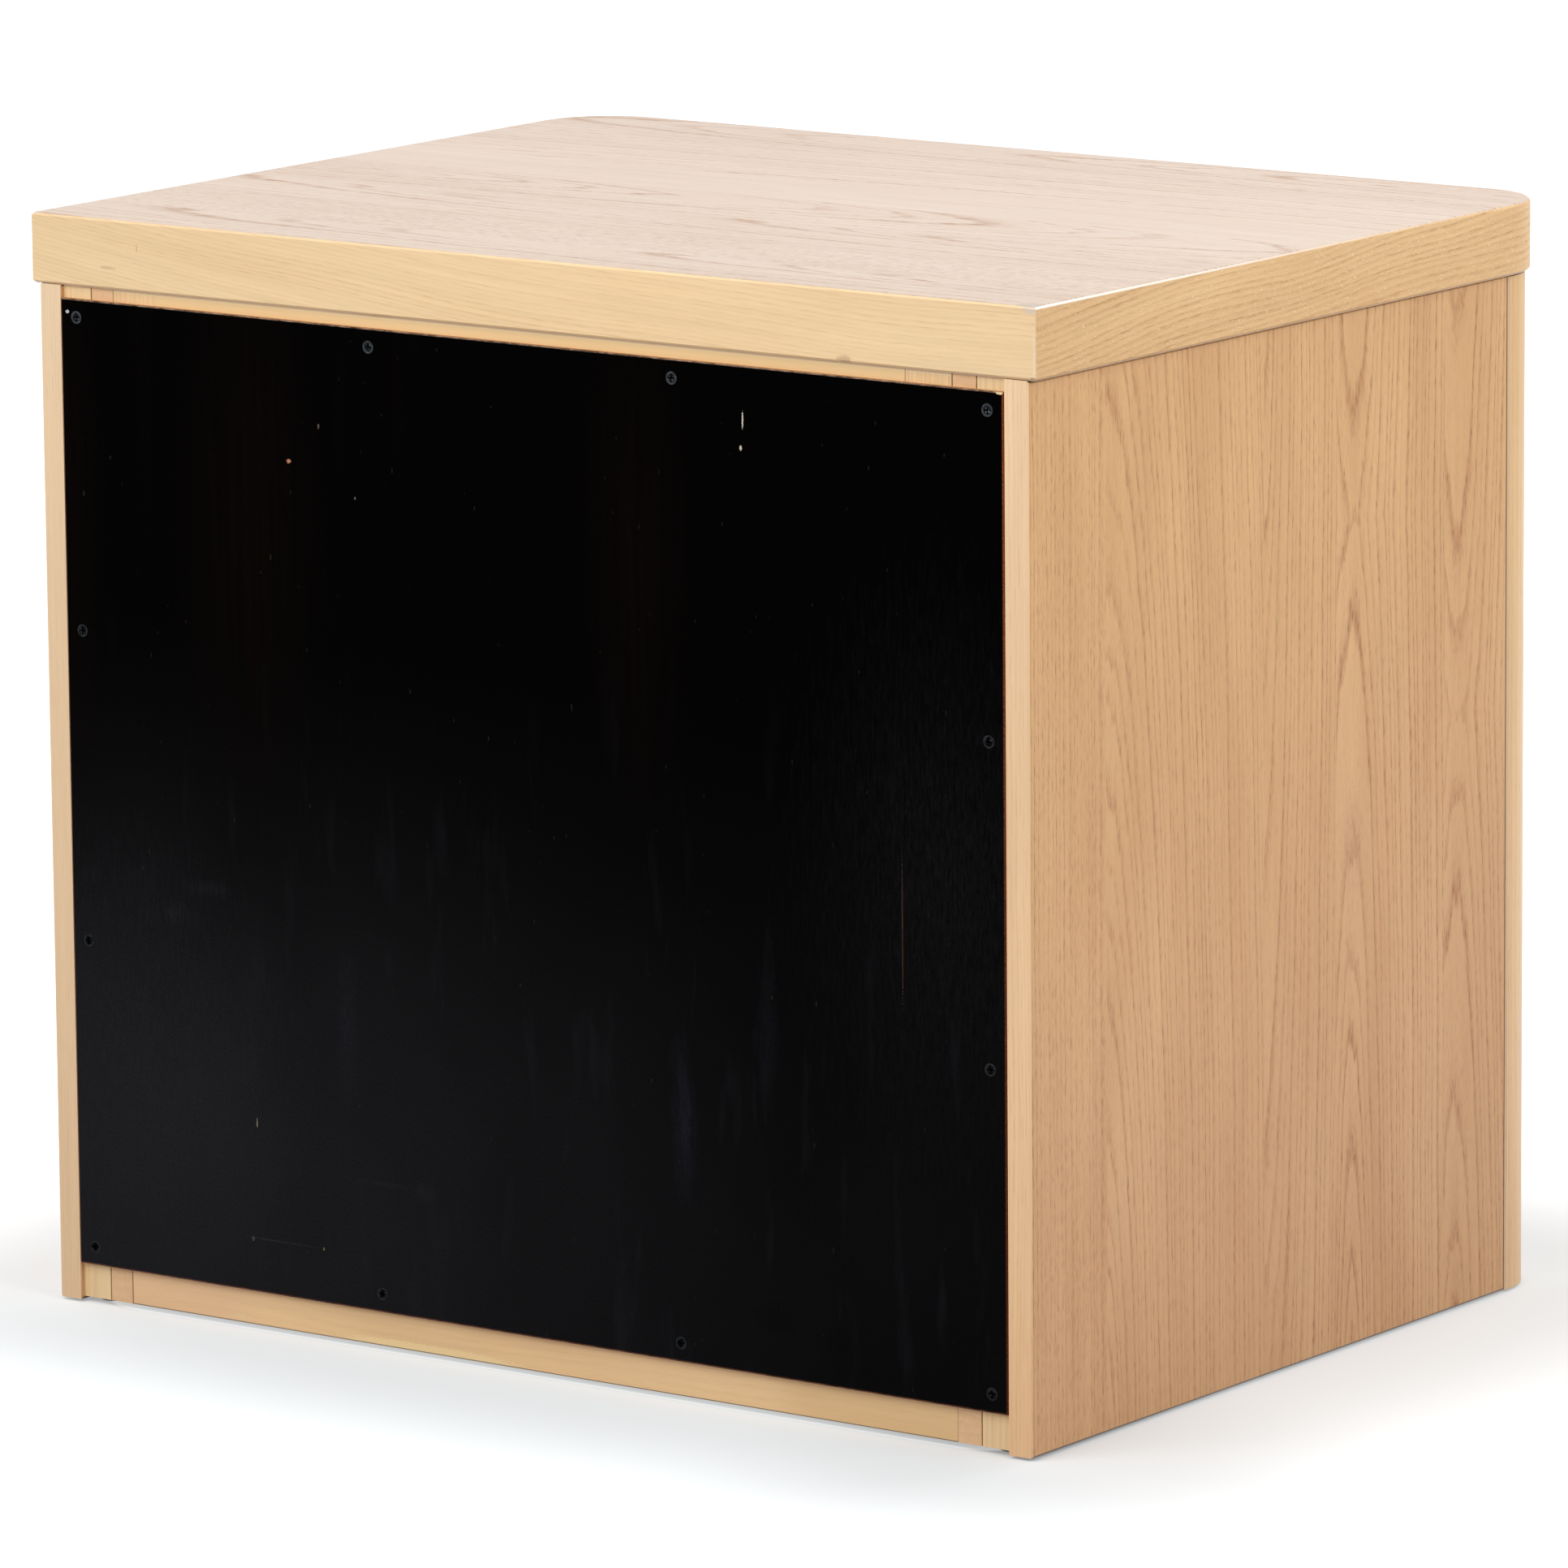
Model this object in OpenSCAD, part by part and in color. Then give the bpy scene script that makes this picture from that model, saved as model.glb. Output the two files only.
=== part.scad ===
// Bedside cabinet with two handleless drawers on ball bearing slides.
// Origin: centre of the footprint, on the floor. The front faces -Y and +Z is up.

/* [Top] */
// Width of the top
top_w = 658; // [630:1:690]
// Depth of the top, from its rear edge to its front edge
top_d = 501; // [485:1:530]
// Thickness of the top
top_t = 38.5; // [34:0.5:42]
// Radius of the two front corners of the top
top_r = 45; // [40:1:49]
// How far the top stands past the case at the sides
overhang = 4; // [3:0.5:6]
// How far the top stands past the case at the front
front_overhang = 3; // [2:0.5:5]
// Flat cut along the outer edges of the top and of the case
ease = 1.5; // [1.3:0.1:2]
// Thickness of the wood strips round the panel edges
band_t = 1; // [0.6:0.1:1.2]
// Glue line between a strip and its panel
glue = 0.05; // [0.02:0.01:0.1]

/* [Case] */
// Height from the floor to the top face
total_h = 601.5; // [590:0.5:640]
// Thickness of the outer side panels
side_t = 15; // [13:0.5:18]
// Height of the side panels and stiles above the floor
side_lift = 1.5; // [1:0.1:2]
// Radius of the outer corner of a front stile
stile_r = 39; // [36:1:42]
// Flat width of a front stile past its round corner
stile_flat = 5; // [2:0.5:7]
// Shadow groove between a side panel and its stile
stile_groove = 0.8; // [0.4:0.1:0.9]
// Gap between the stiles and the top
stile_drop = 1.3; // [0.8:0.1:2]
// Width of the spacer posts between the outer and inner sides
spacer_w = 18.7; // [17.2:0.1:20]
// Depth of the spacer posts
spacer_d = 30; // [24:1:36]
// Gap between the spacer posts and the inner sides
inner_gap = 0.8; // [0.4:0.1:0.9]
// Thickness of the inner sides that carry the drawer slides
inner_t = 14.5; // [13.5:0.1:17]
// Thickness of the rails across the case
rail_t = 20; // [18:0.5:24]
// Height of the top and bottom rear rails and of the bottom front rail
rail_h = 40; // [36:1:46]
// Height of the narrow rails behind the finger gaps
narrow_h = 26; // [24:1:30]
// Length of the packing blocks at the ends of the top rear rail
block_l = 30; // [24:0.5:40]
// Thickness of the bottom panel
bottom_t = 12; // [9:0.5:15]
// Width of the ledge in the rails that the bottom panel lies on
ledge_w = 6; // [4:0.5:7]
// Size of the square cleats under the top
cleat = 20; // [18:1:24]
// Length of the cleats
cleat_l = 350; // [300:5:380]

/* [Back panel] */
// Thickness of the back panel
back_t = 3; // [2.5:0.1:4]
// Gap between the back panel and each side panel
back_gap = 0.7; // [0.3:0.1:0.9]
// Bare height under the back panel, from the floor
back_low = 22.5; // [18:0.5:26]
// Gap between the back panel and the top
back_high = 6.8; // [4:0.1:9]
// Distance from the panel edges to the screws
screw_inset = 10; // [8.5:0.1:10.5]
// Head diameter of the back panel screws
back_head = 7; // [6:0.1:8]
// Shank diameter of the back panel screws
back_shank = 3.5; // [3:0.1:4]
// Length of the back panel screws
back_screw_l = 14; // [12:0.5:15]

/* [Fixings] */
// Diameter of the floor glides
glide_d = 17; // [14:0.5:17]
// Thickness of the floor glides
glide_t = 3; // [2.5:0.1:4]
// Diameter of the wooden dowels
dowel_d = 6; // [5:0.5:7]
// Depth of a dowel in each of its two pieces
dowel_in = 11; // [8:0.5:12]
// Radial clearance of a dowel or screw in its hole
hole_fit = 0.05; // [0.02:0.01:0.1]
// Shank diameter of the screws that hold the top and the drawer fronts
screw_d = 4; // [3.5:0.1:4.5]
// Length of the screws that hold the top
top_screw_l = 40; // [32:1:48]

/* [Drawers] */
// Thickness of the drawer fronts
front_t = 20; // [18:0.5:24]
// Gap beside and under each drawer front
reveal = 2; // [1.5:0.1:3]
// Finger gap above each drawer front
finger_gap = 20; // [18:0.5:24]
// Gap between a closed drawer front and the case behind it
front_gap = 2; // [1.6:0.1:3]
// Thickness of the lip that the fingers pull
lip_t = 8; // [7:0.5:10]
// Straight depth of the pull behind the lip, before its round bottom
pull_d = 10; // [6:0.5:14]
// Thickness of the drawer box boards
box_t = 12; // [10:0.5:14]
// Depth of the box edge below the upper edge of its front
box_down = 30; // [28:1:50]
// Length of the drawer boxes
box_d = 420; // [405:1:425]
// Height of a drawer box above the lower edge of its front
box_up = 13; // [8:1:16]
// Thickness of the drawer bottoms
base_t = 6; // [5:0.5:7]
// Height of the drawer bottom above the lower edge of its box
base_up = 11; // [8:0.5:14]
// Depth of the grooves for the drawer bottom
base_in = 6; // [4:0.5:7]
// Clearance of the drawer bottom in its grooves
base_fit = 0.15; // [0.1:0.01:0.25]
// Number of dovetails at each box corner
tail_count = 5; // [4:1:6]
// Rise of a dovetail's side for one unit across
tail_slope = 7; // [6:1:8]
// Clearance round the dovetails
tail_fit = 0.08; // [0.05:0.01:0.15]
// Diameter of the round stop pads behind the fronts
pad_d = 8; // [7:0.5:10]
// Clearance between the stop pads and the case
pad_fit = 0.3; // [0.2:0.05:0.5]

/* [Slides] */
// Height of the drawer slides
slide_h = 45; // [43:0.5:47]
// Thickness of the drawer slides
slide_t = 12.7; // [12.5:0.1:13.2]
// Distance from the front edge of the inner side to the slides
slide_in = 2; // [1:0.5:4]
// Distance from the rear end of the slides to the back board of the box
slide_end = 4; // [1:0.5:14]
// Height of the slide's centre line above the lower edge of the box
slide_up = 70; // [50:1:90]
// Thickness of the outer and drawer members
sheet_t = 1.2; // [1:0.05:1.3]
// Thickness of the web of the middle member
mid_t = 1; // [0.8:0.05:1.1]
// Diameter of the bearing balls
ball_d = 4; // [3.8:0.05:4.1]
// Running clearance round the balls
ball_fit = 0.15; // [0.1:0.01:0.2]
// Metal left between the two ball grooves of the middle member
groove_web = 1.3; // [1:0.1:1.6]
// Number of balls in a row
ball_count = 6; // [4:1:8]
// Distance between the balls
ball_pitch = 30; // [20:1:30]
// Thickness of the ball cages
cage_t = 0.5; // [0.4:0.05:0.6]
// How far the cages reach past the last balls
cage_end = 12; // [6:1:14]
// Clearance between the cages and the members beside them
cage_fit = 0.3; // [0.2:0.05:0.35]

/* [Hidden] */
$fn = 64;
// Overlap of a cutting shape past the face that it opens
cut = 1;

// Case, seen from above
rear_y = top_d / 2;
front_y = -top_d / 2 + front_overhang;
case_w = top_w - 2 * overhang;
case_x = case_w / 2;
stile_w = stile_r + stile_flat;
stile_y = front_y + stile_w;
frame_y = rear_y - back_t;
inner_x = case_x - side_t - spacer_w - inner_gap;
clear_x = inner_x - inner_t;
corner_x = top_w / 2 - top_r;
corner_y = -top_d / 2 + top_r;
opening_x = case_x - stile_w;
inner_y = front_y + front_t + front_gap;

// Case, seen from the front
case_top = total_h - top_t;
rail_top = glide_t + rail_h;
front_h = (case_top - rail_top - reveal - 2 * finger_gap) / 2;
lower_z = rail_top + reveal;
upper_z = lower_z + front_h + finger_gap;
middle_z = lower_z + front_h + finger_gap / 2 - narrow_h / 2;

// Places of the fixings, as shares of the piece that they hold
stile_dowel_at = [0.15, 0.5, 0.85];
rail_dowel_at = [0.2, 0.5];
narrow_dowel_at = [0.25, 0.75];
cleat_screw_at = [-0.35, 0.35];
dowel_ease = 1;
glide_ease = 1;

// Back panel and its screws
back_x = case_x - side_t - back_gap;
back_top = case_top - back_high;
back_screw_x = back_x - screw_inset;
back_screw_low = back_low + screw_inset;
back_screw_high = back_top - screw_inset;
head_h = 2.2;
recess_w = 0.9;
recess_d = 1.5;
recess_share = 0.6;

// Drawer box
box_h = front_h - box_up - box_down;
front_w = 2 * (opening_x - reveal);
box_w = 2 * (clear_x - slide_t);
box_y = front_y + front_t;
pan_d = 8;
pan_h = 2.4;
pan_ease = 1;
front_screw_l = 25;
front_screw_in = 60;
front_screw_x = box_w / 2 - front_screw_in;
front_screw_z = [box_h * 0.25, box_h * 0.75];
pad_z = [box_h * 0.12, box_h * 0.9];
tail_share = 0.62;
pad_in = 0.5;

// Slides: u runs from the case towards the drawer, v is height from the centre line
ball_r = ball_d / 2;
race_r = ball_r + ball_fit;
curl_r = race_r + sheet_t;
slot_v = 0.5;
mid_u = sheet_t + 2 * cage_fit + cage_t;
web_fit = 0.25;
ball_u = mid_u + mid_t + web_fit + curl_r;
outer_v = slide_h / 2 - curl_r;
inner_v = outer_v - 2 * race_r - groove_web;
slide_y = inner_y + slide_in;
slide_l = box_y + box_d - box_t - slide_end - slide_y;
cage_l = (ball_count - 1) * ball_pitch + 2 * cage_end;
cage_y = slide_y + (slide_l - cage_l) / 2;
slide_screw_d = 3.5;
slide_head_d = 6.2;
slide_screw_in = 9;
slide_screw_y = [0.09, 0.5, 0.91];
access_d = 9;
slot_w = 4.5;
slot_l = 6;
slots_along = [0.2, 0.8];
slots_across = [0.35, 0.65];

// Colours
oak = [0.83, 0.68, 0.50];
oak_pale = [0.92, 0.84, 0.76];
oak_band = [0.88, 0.75, 0.55];
pine = [0.90, 0.77, 0.60];
birch = [0.88, 0.79, 0.64];
black = [0.05, 0.05, 0.05];
zinc = [0.72, 0.74, 0.76];
steel = [0.80, 0.81, 0.83];
glide_grey = [0.42, 0.46, 0.44];

// Runs a profile drawn as (depth, height) along X, centred
module along_x(length) {
    translate([-length / 2, 0, 0])
        rotate([90, 0, 90])
            linear_extrude(length)
                children();
}

// Runs a profile drawn as (x, height) along +Y, from the origin
module along_y(length) {
    translate([0, length, 0])
        rotate([90, 0, 0])
            linear_extrude(length)
                children();
}

// Mirrors a left-hand piece to the right-hand side
module on_side(right) {
    mirror([right ? 1 : 0, 0, 0])
        children();
}

// Prism that eases a long straight edge, with its corner line at the origin, along X
module ease_cut(length) {
    rotate([45, 0, 0])
        cube([length + 2 * cut, ease * sqrt(2), ease * sqrt(2)], center = true);
}

// Runs a profile, drawn as (distance out from the corner centre, height), round the top:
// along the left side, the left front corner, the front, the right corner and the right side
module round_the_top(rear_inset) {
    for (right = [false, true])
        on_side(right) {
            translate([-corner_x, corner_y, case_top])
                rotate([0, 0, 180])
                    rotate_extrude(angle = 90, $fn = 128)
                        children();
            translate([-corner_x, corner_y, case_top])
                rotate([90, 0, 180])
                    linear_extrude(rear_y - rear_inset - corner_y)
                        children();
        }
    translate([corner_x, corner_y, case_top])
        rotate([90, 0, -90])
            linear_extrude(2 * corner_x)
                children();
}

// Eases the top and bottom rear edges of the top
module top_rear_ease() {
    for (z = [case_top, total_h])
        translate([0, rear_y, z])
            ease_cut(top_w);
}

module top_panel() {
    edge = top_r - band_t - glue;
    slope = ease - band_t - glue;
    color(oak_pale)
        difference() {
            union() {
                round_the_top(band_t + glue)
                    polygon([
                        [0, 0],
                        [top_r - ease, 0],
                        [edge, slope],
                        [edge, top_t - slope],
                        [top_r - ease, top_t],
                        [0, top_t]
                    ]);
                translate([-corner_x, corner_y, case_top])
                    cube([2 * corner_x, rear_y - band_t - glue - corner_y, top_t]);
            }
            top_rear_ease();
            top_screw_places()
                cylinder(h = top_screw_l + hole_fit, r = screw_d / 2 + hole_fit);
        }
}

module top_edge_band() {
    slope = ease - band_t;
    color(oak_band)
        round_the_top(band_t + glue)
            polygon([
                [top_r - band_t, slope],
                [top_r, ease],
                [top_r, top_t - ease],
                [top_r - band_t, top_t - slope]
            ]);
}

module top_rear_edge_band() {
    color(oak_band)
        difference() {
            translate([-top_w / 2, rear_y - band_t, case_top])
                cube([top_w, band_t, top_t]);
            top_rear_ease();
            for (s = [-1, 1], z = [case_top, total_h])
                translate([s * top_w / 2, rear_y, z])
                    rotate([0, 0, 90])
                        ease_cut(2 * band_t);
        }
}

// Places of the screws that hold the top, each pointing up from its head
module top_screw_places() {
    for (s = [-1, 1], f = cleat_screw_at)
        translate([s * (clear_x - cleat / 2), f * cleat_l, case_top - cleat])
            children();
    for (s = [-1, 1])
        translate([s * opening_x / 2, inner_y + rail_t / 2, case_top - narrow_h])
            children();
}

// Left side panel with its rear strip, before the two are split
module side_blank() {
    difference() {
        translate([-case_x, stile_y + stile_groove, side_lift])
            cube([side_t, rear_y - stile_y - stile_groove, case_top - side_lift]);
        for (y = [stile_y + stile_groove, rear_y])
            translate([-case_x, y, (case_top + side_lift) / 2])
                rotate([0, 90, 0])
                    ease_cut(case_top - side_lift);
        for (z = [side_lift, case_top])
            translate([-case_x, (stile_y + rear_y) / 2, z])
                rotate([0, 0, 90])
                    ease_cut(rear_y - stile_y);
    }
}

module side_panel() {
    color(oak)
        difference() {
            side_blank();
            translate([-case_x - cut, rear_y - band_t - glue, 0])
                cube([side_t + 2 * cut, band_t + glue + cut, total_h]);
            stile_dowel_places()
                dowel_hole();
        }
}

module side_panel_left() {
    side_panel();
}

module side_panel_right() {
    on_side(true)
        side_panel();
}

module side_rear_edge_bands() {
    color(oak_band)
        for (s = [0, 1])
            on_side(s == 1)
                intersection() {
                    side_blank();
                    translate([-case_x - cut, rear_y - band_t, 0])
                        cube([side_t + 2 * cut, band_t + cut, total_h]);
                }
}

// Dowels run along Y from the middle of the shadow groove
module stile_dowel_places() {
    for (f = stile_dowel_at)
        translate([-case_x + side_t / 2, stile_y + stile_groove / 2, f * case_top])
            rotate([90, 0, 0])
                children();
}

// Hole of a dowel, centred on the joint that it crosses
module dowel_hole() {
    cylinder(h = 2 * (dowel_in + hole_fit), r = dowel_d / 2 + hole_fit, center = true);
}

// Dowel with eased ends
module dowel() {
    straight = dowel_in - dowel_ease;
    cylinder(h = 2 * straight, r = dowel_d / 2, center = true);
    for (m = [0, 1])
        mirror([0, 0, m])
            translate([0, 0, straight])
                cylinder(h = dowel_ease, r1 = dowel_d / 2, r2 = dowel_d / 2 - dowel_ease / 2);
}

// Section of a front stile: round outer corner, and a rebate that holds the inner side
module stile_section() {
    difference() {
        union() {
            translate([-case_x + stile_r, front_y])
                square([stile_flat, stile_w]);
            translate([-case_x, front_y + stile_r])
                square([stile_w, stile_flat]);
            intersection() {
                translate([-case_x + stile_r, front_y + stile_r])
                    circle(stile_r, $fn = 128);
                translate([-case_x, front_y])
                    square(stile_r);
            }
        }
        translate([-inner_x - glue, inner_y - glue])
            square([stile_w, stile_w]);
    }
}

module front_stile() {
    color(oak_band)
        difference() {
            translate([0, 0, side_lift])
                linear_extrude(case_top - stile_drop - side_lift)
                    stile_section();
            translate([-case_x, stile_y, case_top / 2])
                rotate([0, 90, 0])
                    ease_cut(case_top);
            stile_dowel_places()
                dowel_hole();
            on_side(true)
                front_rail_dowel_places()
                    dowel_hole();
        }
}

module front_stile_left() {
    front_stile();
}

module front_stile_right() {
    on_side(true)
        front_stile();
}

// Right-hand dowel places of the rails, along X; the left-hand ones are their mirror
module front_rail_dowel_places() {
    for (f = rail_dowel_at)
        translate([opening_x, front_y + rail_t / 2, glide_t + f * rail_h])
            rotate([0, 90, 0])
                children();
}

module inner_rail_dowel_places() {
    for (f = rail_dowel_at)
        translate([clear_x, frame_y - rail_t / 2, glide_t + f * rail_h])
            rotate([0, 90, 0])
                children();
    for (z = [middle_z, case_top - narrow_h], f = narrow_dowel_at)
        translate([clear_x, inner_y + rail_t / 2, z + f * narrow_h])
            rotate([0, 90, 0])
                children();
}

module inner_side() {
    color(birch)
        difference() {
            translate([-inner_x, inner_y, glide_t])
                cube([inner_t, frame_y - inner_y, case_top - glide_t]);
            on_side(true)
                inner_rail_dowel_places()
                    dowel_hole();
            for (z = [lower_z, upper_z])
                outer_screw_places(z)
                    slide_screw(hole_fit);
        }
}

module inner_side_left() {
    inner_side();
}

module inner_side_right() {
    on_side(true)
        inner_side();
}

// Spacer post that starts at depth y, with the holes of any back panel screws
module spacer(y) {
    color(pine)
        difference() {
            translate([-case_x + side_t, y, glide_t])
                cube([spacer_w, spacer_d, case_top - glide_t]);
            back_screw_places()
                back_screw(hole_fit);
        }
}

module rear_spacer_left() {
    spacer(frame_y - spacer_d);
}

module rear_spacer_right() {
    on_side(true)
        spacer(frame_y - spacer_d);
}

module front_spacer_left() {
    spacer(stile_y);
}

module front_spacer_right() {
    on_side(true)
        spacer(stile_y);
}

module top_rear_rail() {
    color(oak_band)
        difference() {
            translate([-clear_x + block_l, frame_y - rail_t, case_top - rail_h])
                cube([2 * (clear_x - block_l), rail_t, rail_h]);
            back_screw_places()
                back_screw(hole_fit);
        }
}

module top_rail_end_blocks() {
    color(pine)
        for (x = [-clear_x, clear_x - block_l])
            translate([x, frame_y - rail_t, case_top - rail_h])
                cube([block_l, rail_t, rail_h]);
}

module bottom_rear_rail() {
    color(oak_band)
        difference() {
            translate([-clear_x, frame_y - rail_t, glide_t])
                cube([2 * clear_x, rail_t, rail_h]);
            bottom_space();
            back_screw_places()
                back_screw(hole_fit);
            for (s = [0, 1])
                on_side(s == 1)
                    inner_rail_dowel_places()
                        dowel_hole();
        }
}

// Rail between the inner sides, behind a finger gap, with its lower face at height z
module narrow_rail(z) {
    difference() {
        translate([-clear_x, inner_y, z])
            cube([2 * clear_x, rail_t, narrow_h]);
        for (s = [0, 1])
            on_side(s == 1)
                inner_rail_dowel_places()
                    dowel_hole();
        top_screw_places()
            flat_screw(screw_d, pan_d, top_screw_l, hole_fit);
    }
}

module top_front_rail() {
    color(birch)
        narrow_rail(case_top - narrow_h);
}

module middle_front_rail() {
    color(birch)
        narrow_rail(middle_z);
}

module bottom_front_rail() {
    color(oak_band)
        difference() {
            translate([-opening_x, front_y, glide_t])
                cube([2 * opening_x, rail_t, rail_h]);
            bottom_space();
            for (z = [glide_t, rail_top])
                translate([0, front_y, z])
                    ease_cut(2 * opening_x);
            for (s = [0, 1])
                on_side(s == 1)
                    front_rail_dowel_places()
                        dowel_hole();
        }
}

// Space of the bottom panel, with the ledges that it lies on
module bottom_space() {
    translate([-clear_x - cut - stile_w, front_y + rail_t - ledge_w, rail_top - bottom_t])
        cube([
            2 * (clear_x + cut + stile_w),
            frame_y - front_y - 2 * (rail_t - ledge_w),
            bottom_t + cut
        ]);
}

module bottom_panel() {
    color(birch)
        translate([-clear_x + glue, front_y + rail_t - ledge_w + glue, rail_top - bottom_t])
            cube([
                2 * (clear_x - glue),
                frame_y - front_y - 2 * (rail_t - ledge_w + glue),
                bottom_t
            ]);
}

module top_cleats() {
    color(pine)
        difference() {
            for (x = [-clear_x, clear_x - cleat])
                translate([x, -cleat_l / 2, case_top - cleat])
                    cube([cleat, cleat_l, cleat]);
            top_screw_places()
                flat_screw(screw_d, pan_d, top_screw_l, hole_fit);
        }
}

// Places of the twelve back panel screws, each pointing into the case
module back_screw_places() {
    for (i = [0:3], j = [0:3])
        if (i == 0 || i == 3 || j == 0 || j == 3)
            translate([
                back_screw_x * (2 * i / 3 - 1),
                rear_y,
                back_screw_low + (back_screw_high - back_screw_low) * j / 3
            ])
                rotate([90, 0, 0])
                    children();
}

// Countersunk screw with its head at z = 0, pointing to +Z
module flat_screw(shank_d, wide_d, length, fit) {
    cylinder(h = head_h, r1 = wide_d / 2 + fit, r2 = shank_d / 2 + fit);
    cylinder(h = length + fit, r = shank_d / 2 + fit);
}

// Cross recess of a screw head that lies at z = 0
module cross_recess(width) {
    for (a = [0, 90])
        rotate([0, 0, a])
            cube([width, recess_w, 2 * recess_d], center = true);
}

module back_screw(fit) {
    flat_screw(back_shank, back_head, back_screw_l, fit);
}

module back_panel() {
    color(black)
        difference() {
            translate([-back_x, frame_y, back_low])
                cube([2 * back_x, back_t, back_top - back_low]);
            back_screw_places()
                back_screw(hole_fit);
        }
}

module back_panel_screws() {
    color(black)
        back_screw_places()
            difference() {
                back_screw(0);
                cross_recess(back_head * recess_share);
            }
}

// Screw that holds a slide member, with its head at z = 0 in the sheet
module slide_screw(fit) {
    cylinder(h = sheet_t, r1 = slide_head_d / 2 + fit, r2 = slide_screw_d / 2 + fit);
    cylinder(h = sheet_t + slide_screw_in + fit, r = slide_screw_d / 2 + fit);
}

// Left-hand screw places of a case member: heads towards the drawer, points to the case
module outer_screw_places(z) {
    for (f = slide_screw_y)
        translate([-clear_x + sheet_t, slide_y + f * slide_l, z + box_up + slide_up])
            rotate([0, -90, 0])
                children();
}

// Left-hand screw places of a drawer member: heads towards the case, points to the box
module inner_screw_places(z) {
    for (f = slide_screw_y)
        translate([
            -clear_x + slide_t - sheet_t,
            slide_y + f * slide_l,
            z + box_up + slide_up
        ])
            rotate([0, 90, 0])
                children();
}

module case_screws() {
    color(zinc) {
        top_screw_places()
            difference() {
                flat_screw(screw_d, pan_d, top_screw_l, 0);
                cross_recess(pan_d * recess_share);
            }
        for (s = [0, 1], z = [lower_z, upper_z])
            on_side(s == 1)
                outer_screw_places(z)
                    slide_screw(0);
    }
}

module dowels() {
    color(pine)
        for (s = [0, 1])
            on_side(s == 1) {
                stile_dowel_places()
                    dowel();
                front_rail_dowel_places()
                    dowel();
                inner_rail_dowel_places()
                    dowel();
            }
}

module floor_glides() {
    color(glide_grey)
        for (s = [-1, 1], y = [stile_y + spacer_d / 2, frame_y - spacer_d / 2])
            translate([s * (case_x - side_t - spacer_w / 2), y, 0]) {
                cylinder(h = glide_ease, r1 = glide_d / 2 - glide_ease, r2 = glide_d / 2);
                translate([0, 0, glide_ease])
                    cylinder(h = glide_t - glide_ease, r = glide_d / 2);
            }
}

// Drawer front: a lip along the top edge, with a round-bottomed pull behind it
module drawer_front(z) {
    color(oak)
        difference() {
            translate([0, front_y, z])
                along_x(front_w)
                    difference() {
                        square([front_t, front_h]);
                        translate([lip_t, front_h - pull_d])
                            square([front_t, front_h]);
                        translate([front_t, front_h - pull_d])
                            circle(front_t - lip_t);
                    }
            for (e = [0, front_h])
                translate([0, front_y, z + e])
                    ease_cut(front_w);
            for (s = [-1, 1])
                translate([s * front_w / 2, front_y, z + front_h / 2])
                    rotate([0, 90, 0])
                        ease_cut(front_h);
            front_screw_places(z)
                pan_screw(hole_fit);
        }
}

// Pan head screw that points to -Y, with the underside of its head at the origin
module pan_screw(fit) {
    rotate([90, 0, 0])
        cylinder(h = front_screw_l + fit, r = screw_d / 2 + fit);
    rotate([-90, 0, 0])
        cylinder(h = pan_h, r1 = pan_d / 2, r2 = pan_d / 2 - pan_ease);
}

module front_screw_places(z) {
    for (x = [-front_screw_x, front_screw_x], h = front_screw_z)
        translate([x, box_y + box_t, z + box_up + h])
            children();
}

// One dovetail, drawn with its wide end at depth 0 and its root at depth box_t
module tail(fit) {
    wide = box_h / tail_count * tail_share / 2;
    root = wide - box_t / tail_slope;
    polygon([
        [-fit, -wide - fit],
        [box_t + fit, -root - fit],
        [box_t + fit, root + fit],
        [-fit, wide + fit]
    ]);
}

// All dovetails of one corner, with the end of the board at depth 0
module tails(fit) {
    for (i = [0:tail_count - 1])
        translate([0, (i + 0.5) * box_h / tail_count])
            tail(fit);
}

// Space of a drawer bottom in its grooves
module base_space(z, fit) {
    translate([
        -box_w / 2 + box_t - base_in - fit,
        box_y + box_t - base_in - fit,
        z + box_up + base_up - fit
    ])
        cube([
            box_w - 2 * (box_t - base_in - fit),
            box_d - 2 * (box_t - base_in - fit),
            base_t + 2 * fit
        ]);
}

module box_side(z) {
    color(birch)
        difference() {
            translate([-box_w / 2 + box_t / 2, box_y, z + box_up])
                along_x(box_t) {
                    translate([box_t, 0])
                        square([box_d - 2 * box_t, box_h]);
                    tails(0);
                    translate([box_d, 0])
                        mirror([1, 0])
                            tails(0);
                }
            base_space(z, base_fit);
            inner_screw_places(z)
                slide_screw(hole_fit);
        }
}

// Board across a drawer box, with sockets for the tails; turned at the rear
module box_board(z, at_rear) {
    color(birch)
        difference() {
            translate([-box_w / 2, at_rear ? box_y + box_d - box_t : box_y, z + box_up])
                cube([box_w, box_t - tail_fit, box_h]);
            for (s = [-1, 1])
                translate([
                    s * (box_w - box_t) / 2,
                    at_rear ? box_y + box_d : box_y,
                    z + box_up
                ])
                    mirror([0, at_rear ? 1 : 0, 0])
                        along_x(box_t + 2 * tail_fit)
                            tails(tail_fit);
            base_space(z, base_fit);
            front_screw_places(z)
                pan_screw(hole_fit);
        }
}

module box_bottom(z) {
    color(birch)
        base_space(z, 0);
}

module drawer_screws(z) {
    color(zinc) {
        front_screw_places(z)
            pan_screw(0);
        for (s = [0, 1])
            on_side(s == 1)
                inner_screw_places(z)
                    slide_screw(0);
    }
}

module stop_pads(z) {
    color(glide_grey)
        for (s = [-1, 1], h = pad_z)
            translate([s * (front_w / 2 - pad_in - pad_d / 2), box_y, z + h])
                rotate([-90, 0, 0])
                    cylinder(h = front_gap - pad_fit, d = pad_d);
}

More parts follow.
